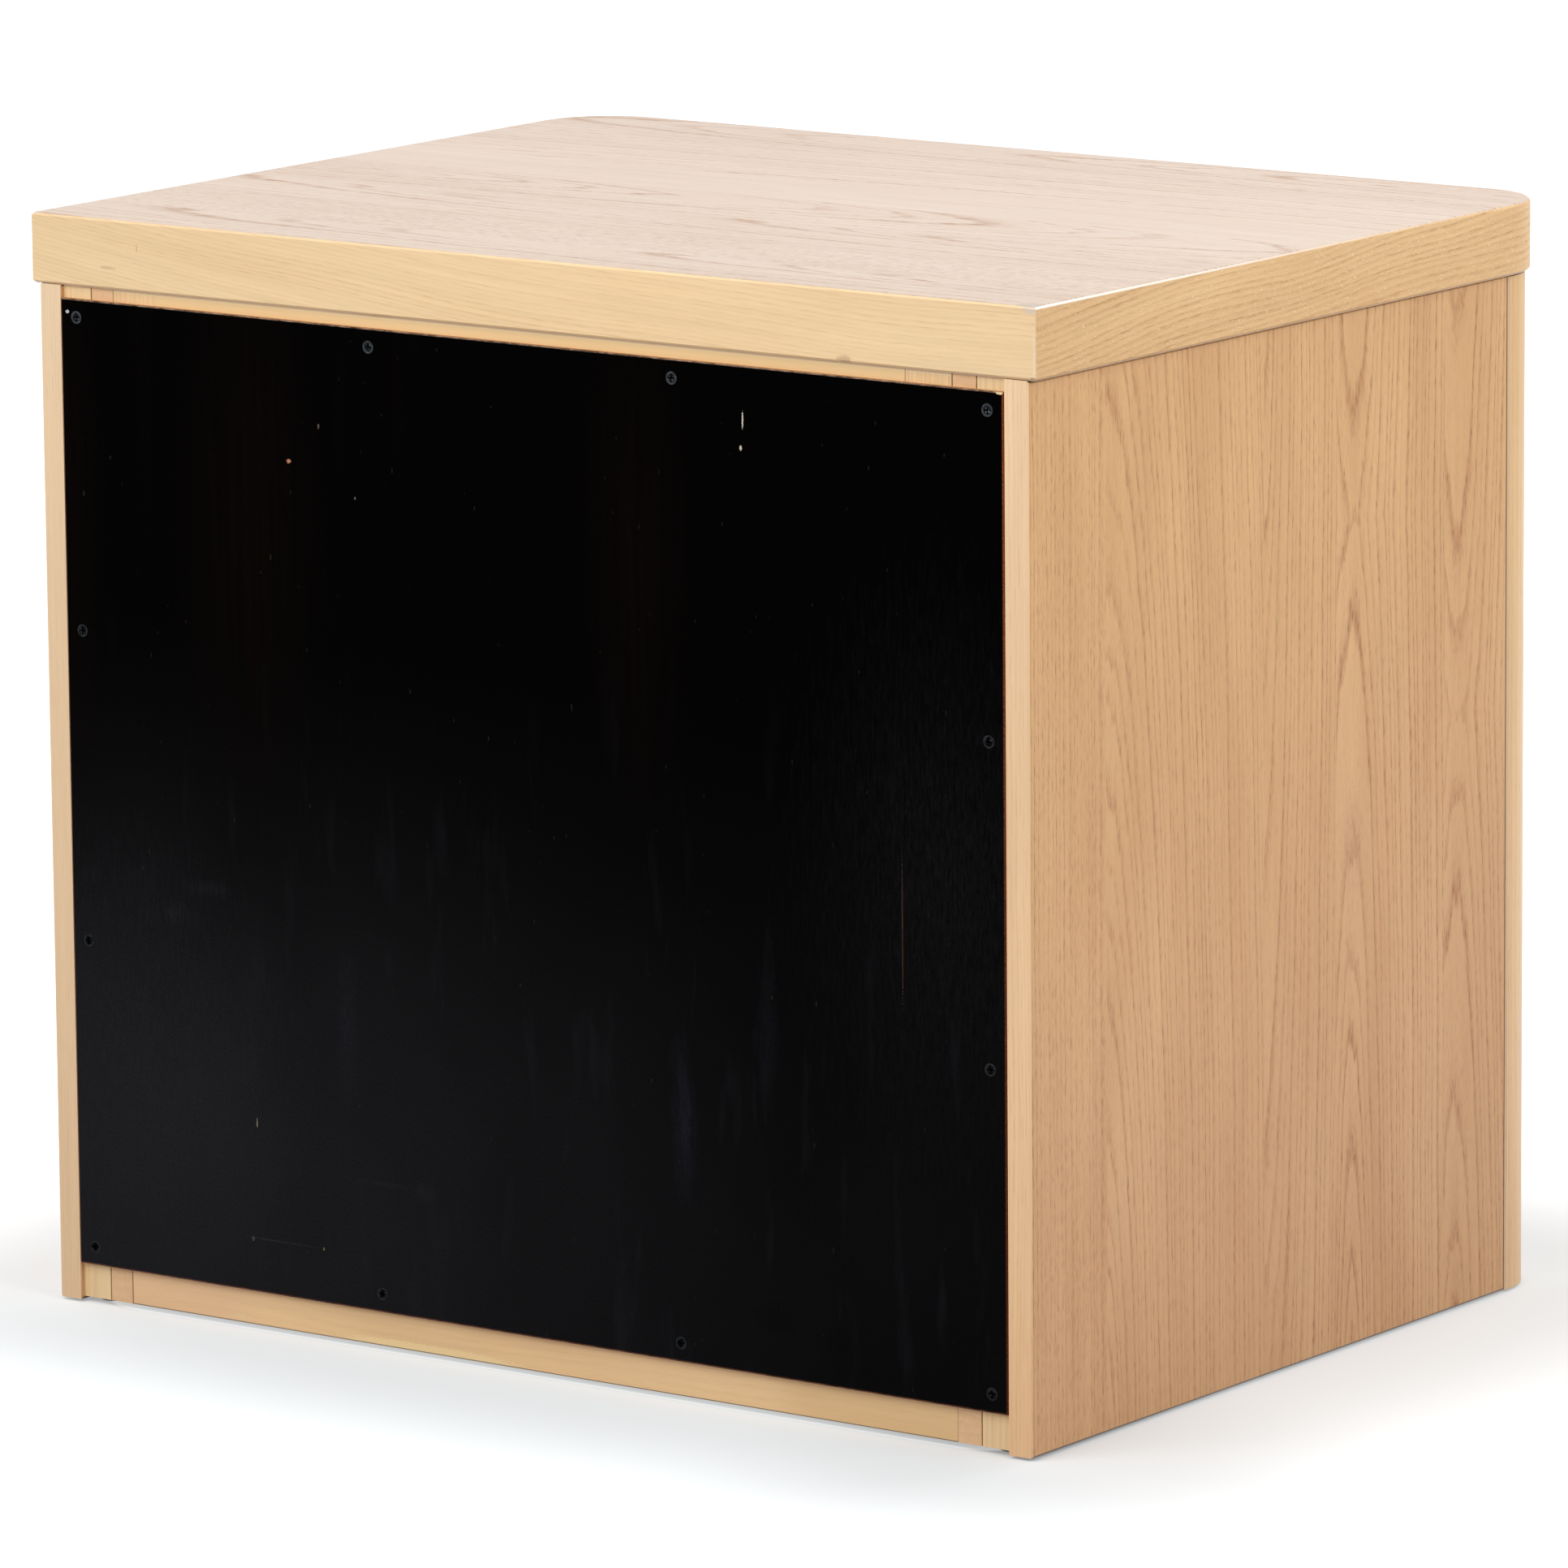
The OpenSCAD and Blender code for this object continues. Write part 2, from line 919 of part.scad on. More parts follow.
// Half ring of sheet that curls round a ball row, open towards the centre line
module curl() {
    intersection() {
        difference() {
            circle(curl_r);
            circle(race_r);
        }
        translate([-2 * curl_r, slot_v])
            square([4 * curl_r, 2 * curl_r]);
    }
}

// Sections of the three members, drawn in u and v
module outer_section() {
    translate([0, -slide_h / 2])
        square([sheet_t, slide_h]);
    for (m = [0, 1])
        mirror([0, m]) {
            translate([0, slide_h / 2 - sheet_t])
                square([ball_u, sheet_t]);
            translate([ball_u, outer_v])
                curl();
        }
}

module middle_section() {
    translate([mid_u, -inner_v - slot_v - cut])
        square([mid_t, 2 * (inner_v + slot_v + cut)]);
    for (m = [0, 1])
        mirror([0, m])
            difference() {
                translate([mid_u, inner_v + slot_v])
                    square([ball_u + curl_r - mid_u, outer_v - inner_v - 2 * slot_v]);
                for (v = [inner_v, outer_v])
                    translate([ball_u, v])
                        circle(race_r);
            }
}

module inner_section() {
    translate([slide_t - sheet_t, -inner_v + race_r])
        square([sheet_t, 2 * (inner_v - race_r)]);
    for (m = [0, 1])
        mirror([0, m]) {
            translate([ball_u, inner_v - curl_r])
                square([slide_t - ball_u, sheet_t]);
            translate([ball_u, inner_v])
                mirror([0, 1])
                    curl();
        }
}

// Puts a profile drawn in u and v at a left-hand slide of the drawer at height z
module at_slide(z, y, length) {
    translate([-clear_x, y, z + box_up + slide_up])
        along_y(length)
            children();
}

// Places on the web that starts at depth u of a left-hand slide, at shares of its length
module web_places(z, u, shares) {
    for (f = shares)
        translate([-clear_x + u, slide_y + f * slide_l, z + box_up + slide_up])
            rotate([0, 90, 0])
                children();
}

// Oblong hole through a web of thickness t
module oblong(t) {
    translate([-slot_w / 2, -slot_l / 2, -cut])
        cube([slot_w, slot_l, t + 2 * cut]);
    for (s = [-1, 1])
        translate([0, s * slot_l / 2, -cut])
            cylinder(h = t + 2 * cut, r = slot_w / 2);
}

// Oblong holes of a sheet member, along the slide and across it
module slot_holes(z, u) {
    web_places(z, u, slots_along)
        oblong(sheet_t);
    web_places(z, u, slots_across)
        rotate([0, 0, 90])
            oblong(sheet_t);
}

module slide_outer(z) {
    color(zinc)
        difference() {
            at_slide(z, slide_y, slide_l)
                outer_section();
            outer_screw_places(z)
                slide_screw(hole_fit);
            slot_holes(z, 0);
        }
}

// The round holes let a driver through to the screws of the case member
module slide_middle(z) {
    color(zinc)
        difference() {
            at_slide(z, slide_y, slide_l)
                middle_section();
            web_places(z, mid_u, slide_screw_y)
                translate([0, 0, -cut])
                    cylinder(h = mid_t + 2 * cut, r = access_d / 2);
        }
}

module slide_inner(z) {
    color(zinc)
        difference() {
            at_slide(z, slide_y, slide_l)
                inner_section();
            inner_screw_places(z)
                slide_screw(hole_fit);
            slot_holes(z, slide_t - sheet_t);
        }
}

// Places of the balls in the two rows at heights v and -v of a left-hand slide
module ball_places(z, v) {
    for (side = [-1, 1], i = [0:ball_count - 1])
        translate([
            -clear_x + ball_u,
            cage_y + cage_end + i * ball_pitch,
            z + box_up + slide_up + side * v
        ])
            children();
}

// Cages and balls of one row pair, on both sides of the case
module ball_cages(z, v) {
    for (s = [0, 1])
        on_side(s == 1) {
            color(zinc)
                difference() {
                    at_slide(z, cage_y, cage_l)
                        children();
                    ball_places(z, v)
                        cylinder(h = 4 * cage_t, r = ball_r + ball_fit, center = true);
                }
            color(steel)
                ball_places(z, v)
                    sphere(ball_r);
        }
}

// Section of the cage strips at heights v and -v
module strip_section(v, from_u) {
    for (side = [-1, 1])
        translate([from_u, side * v - cage_t / 2])
            square([ball_u + curl_r - from_u, cage_t]);
}

module outer_ball_cages(z) {
    ball_cages(z, outer_v) {
        union() {
            strip_section(outer_v, sheet_t + cage_fit);
            translate([sheet_t + cage_fit, -outer_v - cage_t / 2])
                square([cage_t, 2 * outer_v + cage_t]);
        }
    }
}

module inner_ball_cages(z) {
    ball_cages(z, inner_v)
        strip_section(inner_v, ball_u - curl_r);
}

top_panel();
top_edge_band();
top_rear_edge_band();
side_panel_left();
side_panel_right();
side_rear_edge_bands();
front_stile_left();
front_stile_right();
inner_side_left();
inner_side_right();
rear_spacer_left();
rear_spacer_right();
front_spacer_left();
front_spacer_right();
top_rear_rail();
top_rail_end_blocks();
bottom_rear_rail();
top_front_rail();
middle_front_rail();
bottom_front_rail();
bottom_panel();
top_cleats();
back_panel();
back_panel_screws();
case_screws();
dowels();
floor_glides();
drawer_front(upper_z);  // upper_front
box_board(upper_z, false);  // upper_box_front
box_board(upper_z, true);  // upper_box_back
box_side(upper_z);  // upper_box_left
on_side(true) box_side(upper_z);  // upper_box_right
box_bottom(upper_z);  // upper_box_bottom
drawer_screws(upper_z);  // upper_screws
stop_pads(upper_z);  // upper_stop_pads
slide_outer(upper_z);  // upper_slide_left_outer
slide_middle(upper_z);  // upper_slide_left_middle
slide_inner(upper_z);  // upper_slide_left_inner
on_side(true) slide_outer(upper_z);  // upper_slide_right_outer
on_side(true) slide_middle(upper_z);  // upper_slide_right_middle
on_side(true) slide_inner(upper_z);  // upper_slide_right_inner
outer_ball_cages(upper_z);  // upper_outer_ball_cages
inner_ball_cages(upper_z);  // upper_inner_ball_cages
drawer_front(lower_z);  // lower_front
box_board(lower_z, false);  // lower_box_front
box_board(lower_z, true);  // lower_box_back
box_side(lower_z);  // lower_box_left
on_side(true) box_side(lower_z);  // lower_box_right
box_bottom(lower_z);  // lower_box_bottom
drawer_screws(lower_z);  // lower_screws
stop_pads(lower_z);  // lower_stop_pads
slide_outer(lower_z);  // lower_slide_left_outer
slide_middle(lower_z);  // lower_slide_left_middle
slide_inner(lower_z);  // lower_slide_left_inner
on_side(true) slide_outer(lower_z);  // lower_slide_right_outer
on_side(true) slide_middle(lower_z);  // lower_slide_right_middle
on_side(true) slide_inner(lower_z);  // lower_slide_right_inner
outer_ball_cages(lower_z);  // lower_outer_ball_cages
inner_ball_cages(lower_z);  // lower_inner_ball_cages
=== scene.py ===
import math

import bpy
from mathutils import Matrix, Vector


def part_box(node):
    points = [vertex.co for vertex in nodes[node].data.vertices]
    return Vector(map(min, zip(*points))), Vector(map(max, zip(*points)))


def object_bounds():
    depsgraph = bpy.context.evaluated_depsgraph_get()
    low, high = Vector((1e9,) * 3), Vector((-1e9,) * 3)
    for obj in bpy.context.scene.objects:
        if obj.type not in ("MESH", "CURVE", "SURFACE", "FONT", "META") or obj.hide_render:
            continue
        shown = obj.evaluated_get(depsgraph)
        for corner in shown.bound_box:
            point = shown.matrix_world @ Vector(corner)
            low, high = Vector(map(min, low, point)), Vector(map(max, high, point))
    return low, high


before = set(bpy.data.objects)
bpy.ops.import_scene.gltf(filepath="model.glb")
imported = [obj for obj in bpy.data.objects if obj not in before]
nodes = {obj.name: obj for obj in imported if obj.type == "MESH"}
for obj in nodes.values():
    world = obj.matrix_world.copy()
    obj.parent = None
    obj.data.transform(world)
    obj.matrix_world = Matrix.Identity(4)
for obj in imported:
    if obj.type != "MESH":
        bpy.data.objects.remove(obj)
cad_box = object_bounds()

# Places on the cabinet that several finishes share, in metres
side_low, side_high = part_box("side_panel_left")
board_low, board_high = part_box("back_panel")
rail_low, rail_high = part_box("bottom_rear_rail")
case_front = cad_box[0][1]
case_top = cad_box[1][2]
stile_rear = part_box("front_stile_left")[1][1]
top_rail_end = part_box("top_rear_rail")[1][0]

# Camera: about 6 m behind the cabinet, on its -X side, a little above it
image_width = 1932.0
focal_length = 13619.38  # in pixels of that image
sensor_width = 36.0
camera_place = Vector((-3.479961, 4.794678, 1.407861))
camera_yaw = math.radians(36.07073)
camera_pitch = math.radians(10.75964)
camera_roll = math.radians(-0.49148)


def camera_axes(yaw, pitch, roll):
    """Right, up and forward; with all three angles at 0 it looks level along -Y."""
    across = math.cos(pitch)
    forward = Vector((math.sin(yaw) * across, -math.cos(yaw) * across, -math.sin(pitch)))
    level = Vector((-math.cos(yaw), -math.sin(yaw), 0.0))
    upright = level.cross(forward)
    right = level * math.cos(roll) + upright * math.sin(roll)
    up = upright * math.cos(roll) - level * math.sin(roll)
    return right, up, forward


def make_camera():
    right, up, forward = camera_axes(camera_yaw, camera_pitch, camera_roll)
    turn = Matrix((right, up, -forward)).transposed().to_4x4()
    data = bpy.data.cameras.new("camera")
    data.sensor_width = sensor_width
    data.lens = sensor_width * focal_length / image_width
    data.clip_end = 100.0
    camera = bpy.data.objects.new("camera", data)
    bpy.context.scene.collection.objects.link(camera)
    camera.matrix_world = Matrix.Translation(camera_place) @ turn
    bpy.context.scene.camera = camera


make_camera()
bpy.context.scene.view_settings.view_transform = "Standard"


# Helpers for the node trees of the finishes
def linear(rgb):
    """sRGB 0-255 to the linear values that sockets take."""
    out = []
    for c in rgb:
        c = c / 255.0
        out.append(c / 12.92 if c <= 0.04045 else ((c + 0.055) / 1.055) ** 2.4)
    return (out[0], out[1], out[2], 1.0)


class Tree:
    """A material whose colour and bump are worked out from the place on the object."""

    def __init__(self, name):
        self.material = bpy.data.materials.new(name)
        self.material.use_nodes = True
        self.tree = self.material.node_tree
        self.tree.nodes.clear()
        self.where = self.tree.nodes.new("ShaderNodeTexCoord").outputs["Object"]
        split = self.tree.nodes.new("ShaderNodeSeparateXYZ")
        self.tree.links.new(self.where, split.inputs[0])
        self.xyz = {"x": split.outputs[0], "y": split.outputs[1], "z": split.outputs[2]}

    def put(self, socket, value):
        if isinstance(value, bpy.types.NodeSocket):
            self.tree.links.new(value, socket)
        else:
            socket.default_value = value

    def math(self, operation, a, b=0.0, clamp=False):
        n = self.tree.nodes.new("ShaderNodeMath")
        n.operation = operation
        n.use_clamp = clamp
        self.put(n.inputs[0], a)
        self.put(n.inputs[1], b)
        return n.outputs[0]

    def scale_add(self, a, factor, offset=0.0):
        n = self.tree.nodes.new("ShaderNodeMath")
        n.operation = "MULTIPLY_ADD"
        self.put(n.inputs[0], a)
        self.put(n.inputs[1], factor)
        self.put(n.inputs[2], offset)
        return n.outputs[0]

    def join(self, x, y, z):
        n = self.tree.nodes.new("ShaderNodeCombineXYZ")
        for i, v in enumerate((x, y, z)):
            self.put(n.inputs[i], v)
        return n.outputs[0]

    def vector(self, operation, a, b=(0.0, 0.0, 0.0)):
        n = self.tree.nodes.new("ShaderNodeVectorMath")
        n.operation = operation
        self.put(n.inputs[0], a)
        self.put(n.inputs[1], b)
        return n.outputs["Value"] if operation in ("LENGTH", "DISTANCE") else n.outputs[0]

    def noise(self, vector, scale=1.0, detail=2.0, rough=0.5):
        n = self.tree.nodes.new("ShaderNodeTexNoise")
        self.put(n.inputs["Vector"], vector)
        n.inputs["Scale"].default_value = scale
        n.inputs["Detail"].default_value = detail
        n.inputs["Roughness"].default_value = rough
        return n.outputs["Fac"]

    def sheet_noise(self, p, q, p_scale, q_scale, offset, detail, rough=0.5):
        """Noise over the p, q plane, with a scale of its own along each."""
        at = self.join(self.scale_add(p, p_scale), self.scale_add(q, q_scale), offset)
        return self.noise(at, 1.0, detail, rough)

    def ramp(self, value, stops):
        n = self.tree.nodes.new("ShaderNodeValToRGB")
        self.put(n.inputs[0], value)
        e = n.color_ramp.elements
        while len(e) < len(stops):
            e.new(0.5)
        for i, (at, v) in enumerate(stops):
            e[i].position = at
            e[i].color = (v, v, v, 1.0)
        return n.outputs[0]

    def range(self, value, low, high, to_low=0.0, to_high=1.0, smooth=False):
        n = self.tree.nodes.new("ShaderNodeMapRange")
        n.interpolation_type = "SMOOTHSTEP" if smooth else "LINEAR"
        for i, v in enumerate((value, low, high, to_low, to_high)):
            self.put(n.inputs[i], v)
        return n.outputs[0]

    def mix(self, factor, a, b, blend="MIX"):
        n = self.tree.nodes.new("ShaderNodeMix")
        n.data_type = "RGBA"
        n.blend_type = blend
        self.put(n.inputs[0], factor)
        self.put(n.inputs[6], a)
        self.put(n.inputs[7], b)
        return n.outputs[2]

    def shade(self, colour, factor):
        """Make the colour lighter or darker by a grey factor."""
        return self.mix(1.0, colour, self.join(factor, factor, factor), "MULTIPLY")

    def tint(self, colour, where, amount, tone):
        """Lay a linear tone over the colour, by amount, where `where` is 1."""
        return self.mix(self.math("MULTIPLY", where, amount), colour, tone)

    def blot(self, p, q, centre, half, rag=0.6, core=0.8, grain=(900.0, 900.0)):
        """1 inside a ragged ellipse in the p, q plane, to 0 outside it."""
        at = self.join(p, q, 0.0)
        off = self.vector("SUBTRACT", at, (centre[0], centre[1], 0.0))
        off = self.vector("MULTIPLY", off, (1.0 / half[0], 1.0 / half[1], 0.0))
        away = self.vector("LENGTH", off)
        edge = self.noise(self.vector("MULTIPLY", at, (grain[0], grain[1], 1.0)), 1.0, 2.0)
        away = self.math("ADD", away, self.scale_add(edge, 2.0 * rag, -rag))
        return self.range(away, 1.1, core)

    def bump(self, height, depth, strength):
        n = self.tree.nodes.new("ShaderNodeBump")
        n.inputs["Strength"].default_value = strength
        n.inputs["Distance"].default_value = depth
        self.put(n.inputs["Height"], height)
        return n.outputs[0]

    def finish(self, colour, roughness, normal, metallic=0.0, specular=0.5):
        s = self.tree.nodes.new("ShaderNodeBsdfPrincipled")
        self.put(s.inputs["Base Color"], colour)
        self.put(s.inputs["Roughness"], roughness)
        self.put(s.inputs["Normal"], normal)
        s.inputs["Metallic"].default_value = metallic
        s.inputs["Specular IOR Level"].default_value = specular
        out = self.tree.nodes.new("ShaderNodeOutputMaterial")
        self.tree.links.new(s.outputs[0], out.inputs[0])
        return self.material


# Wood
FAR = 9.0  # beyond every face of the cabinet
PLAIN = ((-FAR, FAR, 0.01, 0.0, FAR, 1.0, 0.1),)  # one leaf, with straight lines only
RAY_TONE = linear((246, 222, 186))
WEAR_AND_HIGHLIGHT_TONE = linear((252, 245, 238))


def wood(
    name,
    grain,
    across,
    tones,
    leaves=PLAIN,
    period=0.0040,
    wander=0.0015,
    rings=0.6,
    pores=0.6,
    pore_size=(0.0009, 0.0065),
    patch=0.35,
    fleck=0.0,
    slant=0.0,
    bend=0.0,
    lean=0.0,
    wrap=False,
    seed=0.0,
    roughness=0.42,
    fringe=1.0,
    rim=None,
    fade=None,
    marks_on=None,
    marks=(),
    gloss=0.5,
    breaks=0.0,
):
    """Sawn or sliced wood.

    Its growth rings are cylinders that lie a little askew under the face, so that they come out
    as nested arches along the centre of a leaf and as lines at its flanks. A leaf of veneer is
    (from, centre, depth, tilt, fold, strength, speckle). The arches point up to the fold from
    below it and down to it from above, where the rings lie deepest. tones are the ground, the
    growth lines and the pores. A fade is (axis, start, end, factor at the start, factor at the
    end), and a mark in the marks_on plane is (centre, half size, sRGB tint, amount, raggedness).
    """
    t = Tree(name)
    ground, line, pore = tones
    third = ({"x", "y", "z"} - {grain, across}).pop()
    u, v, w = t.xyz[across], t.xyz[grain], t.xyz[third]
    if wrap:
        side = t.math("SIGN", t.xyz["x"])
        v = t.math("ADD", t.xyz["x"], t.math("MULTIPLY", side, t.math("SUBTRACT", t.xyz["y"], case_front)))
        w = 0.0
    if slant:
        u = t.math("ADD", u, t.scale_add(v, slant))
    if lean:
        u = t.math("ADD", u, t.scale_add(w, lean))
    if bend:
        u = t.math("ADD", u, t.scale_add(t.math("MULTIPLY", v, v), bend))

    values = list(leaves[0][1:])
    for before, leaf in zip(leaves, leaves[1:]):
        past = t.math("GREATER_THAN", u, leaf[0])
        for i, value in enumerate(values):
            step = leaf[i + 1] - before[i + 1]
            if step:
                values[i] = t.scale_add(past, step, value)
    centre, depth, tilt, fold, strength, speckle = values

    def stretched(across_scale, along_scale, offset, detail=2.0):
        """Noise that is drawn out along the grain and differs from leaf to leaf."""
        sheet = offset if wrap else t.scale_add(w, across_scale, offset)
        start = t.scale_add(centre, 50.0, seed) if len(leaves) > 1 else seed
        at_u = t.math("ADD", t.scale_add(u, across_scale), start)
        return t.noise(t.join(at_u, t.scale_add(v, along_scale, offset), sheet), 1.0, detail)

    drift = stretched(16.0, 4.0, 3.1, 1.0)
    waves = stretched(140.0, 9.0, 1.7)
    fibre = stretched(700.0, 14.0, 5.3, 1.0)
    streak = stretched(260.0, 9.0, 2.2)
    broad = stretched(24.0, 4.0, 7.9, 3.0)

    # Distance from the heart of the rings
    along = t.math("ADD", v, t.scale_add(fibre, 0.016, -0.008))
    b = t.math("ABSOLUTE", t.math("SUBTRACT", along, fold))
    b = t.math("SUBTRACT", depth, t.math("MULTIPLY", b, tilt))
    b = t.math("ADD", b, t.scale_add(drift, 2.0 * wander, -wander))
    a = t.math("SUBTRACT", u, centre)
    a = t.math("ADD", a, t.scale_add(drift, 4.0 * wander, -2.0 * wander))
    r = t.vector("LENGTH", t.join(a, b, 0.0))
    r = t.math("ADD", r, t.scale_add(waves, period * 0.7))

    # Porous early wood at the start of each year, more of it in some years than in others
    spread = t.noise(t.join(t.scale_add(r, 70.0), seed, 0.0), 1.0, 1.0)
    turns = t.math("ADD", t.math("DIVIDE", r, period), t.scale_add(spread, 3.0))
    share = t.math("FRACT", turns)
    year = t.noise(t.join(t.scale_add(t.math("FLOOR", turns), 1.37, seed), 0.5, 0.0), 1.0, 0.0)
    early = t.ramp(share, (
        (0.0, 0.60), (0.12 * fringe, 1.0), (0.34 * fringe, 0.45), (0.60 * fringe, 0.12),
        (1.0 - 0.12 * fringe, 0.0), (1.0, 0.60),
    ))
    early = t.math("MULTIPLY", early, t.range(year, 0.3, 0.7, 0.35, 1.0))
    early = t.math("MULTIPLY", early, strength)
    if breaks:
        gap = stretched(520.0, 75.0, 4.4, 2.0)
        early = t.math("MULTIPLY", early, t.range(gap, 0.36, 0.60, 1.0 - breaks, 1.0))

    dash = stretched(1.0 / pore_size[0], 1.0 / pore_size[1], 0.4, 1.0)
    dash = t.range(dash, 0.50, 0.66)
    porous = t.math("ADD", t.scale_add(early, 0.9, 0.03), speckle, clamp=True)
    dash = t.math("MULTIPLY", dash, porous)

    colour = t.tint(ground, t.range(broad, 0.3, 0.72), patch, line)
    colour = t.shade(colour, t.range(streak, 0.3, 0.7, 0.96, 1.04))
    colour = t.tint(colour, early, rings, line)
    colour = t.tint(colour, dash, pores, pore)
    if fleck:
        ray = stretched(1900.0, 380.0, 9.3, 1.0)
        colour = t.tint(colour, t.range(ray, 0.65, 0.74), fleck, RAY_TONE)
    # A pale line along the eased top edge, strongest towards the rear: edge wear and a painted highlight
    if rim:
        height = t.math("ADD", t.xyz["z"], t.scale_add(t.xyz["y"], 0.0024))
        wear_and_highlight = t.range(height, rim, rim + 0.0005)
        colour = t.tint(colour, wear_and_highlight, t.range(t.xyz["y"], -0.16, 0.24, 0.25, 1.0), WEAR_AND_HIGHLIGHT_TONE)
    if fade:
        axis, start, end, first, last = fade
        shift = t.range(t.xyz[axis], start, end)
        colour = t.mix(1.0, colour, t.mix(shift, first + (1.0,), last + (1.0,)), "MULTIPLY")
    for middle, half, tint, amount, rag in marks:
        hit = t.blot(t.xyz[marks_on[0]], t.xyz[marks_on[1]], middle, half, rag)
        colour = t.tint(colour, hit, amount, linear(tint))
    height = t.math("ADD", t.math("MULTIPLY", dash, -1.0), t.math("MULTIPLY", early, -0.3))
    rough = t.math("ADD", t.scale_add(dash, 0.12, roughness), t.scale_add(broad, 0.1, -0.05))
    return t.finish(colour, rough, t.bump(height, 0.00012, 0.5), specular=gloss)


def tones(ground, line, pore):
    return linear(ground), linear(line), linear(pore)


TAN = tones((225, 179, 129), (186, 129, 80), (148, 90, 50))
PALE = tones((229, 209, 192), (186, 146, 116), (178, 130, 86))
YELLOW = tones((246, 214, 170), (224, 185, 134), (196, 152, 104))
BIRCH = tones((230, 205, 166), (216, 187, 144), (200, 168, 124))

# Where the rear rails and their packing blocks meet their neighbours
seam_step = 0.0003
rail_seam = rail_high[0] - seam_step
block_seam = top_rail_end + seam_step
under_top = side_high[2]
# A pale band along the top of the rear rail and its blocks, right under the top: painted light over the
# shadow of the top's edge band
painted_light_under_top = ((0.0, under_top - 0.0002), (FAR, 0.0016), (255, 236, 196), 0.40, 0.1)

oak_side = wood(
    "oak_side", "z", "y", TAN,
    leaves=(
        (-FAR, -0.152, 0.036, 0.060, 0.330, 1.0, 0.1),
        (-0.140, -0.050, 0.034, 0.062, 0.450, 1.0, 0.1),
        (-0.034, 0.038, 0.036, 0.045, 0.000, 0.9, 0.1),
        (0.035, 0.186, 0.066, 0.098, 0.600, 0.8, 0.1),
        (0.182, 0.600, 0.010, 0.000, 0.000, 0.6, 0.2),
    ),
    rings=0.95, pores=0.80, fringe=0.62, breaks=0.2,
    # Darker towards the floor: painted shade of the light falling off downwards
    fade=("z", 0.02, 0.48, (0.93, 0.90, 0.90), (1.00, 0.98, 0.88)),
    marks_on="yz",
    marks=(
        ((-0.050, 0.275), (0.013, 0.030), (196, 142, 106), 0.22, 0.8),
        # Dark line just under the top: painted shadow of the gap under the top
        ((0.0, under_top + 0.0002), (FAR, 0.0011), (50, 28, 16), 0.95, 0.2),
        # Dark red line along the front edge: the edge's own tone with painted shade of the groove beside
        # the stile
        ((side_low[1], 0.3), (0.0012, FAR), (128, 72, 42), 0.9, 0.1),
        # Dark line along the bottom edge: painted contact shadow
        ((0.0, side_low[2]), (FAR, 0.0011), (92, 74, 60), 0.85, 0.1),
    ),
)
oak_front = wood(
    "oak_front", "x", "z", TAN,
    leaves=(
        (-FAR, 0.095, 0.040, 0.060, 0.400, 1.0, 0.1),
        (0.150, 0.215, 0.044, 0.070, -0.400, 0.9, 0.1),
        (0.290, 0.352, 0.040, 0.060, 0.350, 1.0, 0.1),
        (0.430, 0.472, 0.050, 0.080, -0.350, 0.9, 0.1),
    ),
    seed=11.0,
)
oak_top = wood(
    "oak_top", "x", "y", PALE,
    leaves=(
        (-FAR, -0.226, 0.048, 0.060, 0.450, 1.0, 0.1),
        (-0.170, -0.060, 0.060, 0.080, 0.420, 0.9, 0.05),
        (-0.078, 0.300, 0.010, 0.000, 0.000, 0.12, 0.05),
        (-0.010, 0.012, 0.066, 0.090, -0.420, 1.0, 0.1),
        (0.068, 0.072, 0.048, 0.060, 0.450, 1.0, 0.1),
        (0.140, 0.170, 0.010, 0.020, 0.000, 0.12, 0.4),
        (0.195, 0.200, 0.048, 0.060, 0.400, 1.0, 0.1),
    ),
    period=0.0056, rings=1.0, pores=0.80, patch=0.12, fringe=0.50, gloss=0.28, breaks=0.65,
    # Darker at the rear edge, lighter towards the front: painted light and shade
    fade=("y", 0.25, -0.10, (0.91, 0.91, 0.91), (1.02, 1.02, 1.03)),
    marks_on="xy",
    marks=(((-0.326, 0.2475), (0.010, 0.006), (190, 176, 164), 0.75, 0.7),),
)
oak_rear_edge = wood(
    "oak_rear_edge", "x", "z", YELLOW,
    period=0.0025, wander=0.0030, rings=0.42, pores=0.28, slant=-0.075, bend=-0.12, breaks=0.3,
    fade=("x", 0.33, -0.10, (0.93, 0.94, 0.93), (1.00, 1.00, 0.99)),
    pore_size=(0.0007, 0.012), seed=4.0,
    marks_on="xz",
    marks=(
        ((-0.2102, 0.5649), (0.0045, 0.0022), (176, 142, 108), 0.55, 0.8),
        ((0.2564, 0.5870), (0.0004, 0.0022), (170, 132, 92), 0.5, 0.3),
        ((0.2770, 0.5749), (0.0055, 0.0009), (180, 144, 104), 0.4, 0.9),
        ((-0.3283, 0.5720), (0.0006, 0.0200), (240, 222, 196), 0.6, 0.5),
        ((-0.3275, 0.5645), (0.0018, 0.0009), (150, 108, 80), 0.5, 0.8),
        ((-0.3262, 0.6003), (0.0050, 0.0030), (214, 198, 188), 0.65, 0.9),
    ),
)
oak_edge = wood(
    "oak_edge", "y", "z", tones((231, 191, 137), (199, 152, 97), (170, 118, 70)),
    wander=0.0070, rings=0.62, pores=0.50, slant=-0.07, fleck=0.7, patch=0.5, wrap=True,
    # rim: the height of the pale line of wear and painted highlight along the top edge
    pore_size=(0.0008, 0.009), seed=8.0, rim=case_top - 0.0014,
    # Lighter towards the front: painted light
    fade=("y", 0.25, -0.10, (1.00, 0.99, 0.97), (1.07, 1.07, 1.08)),
)
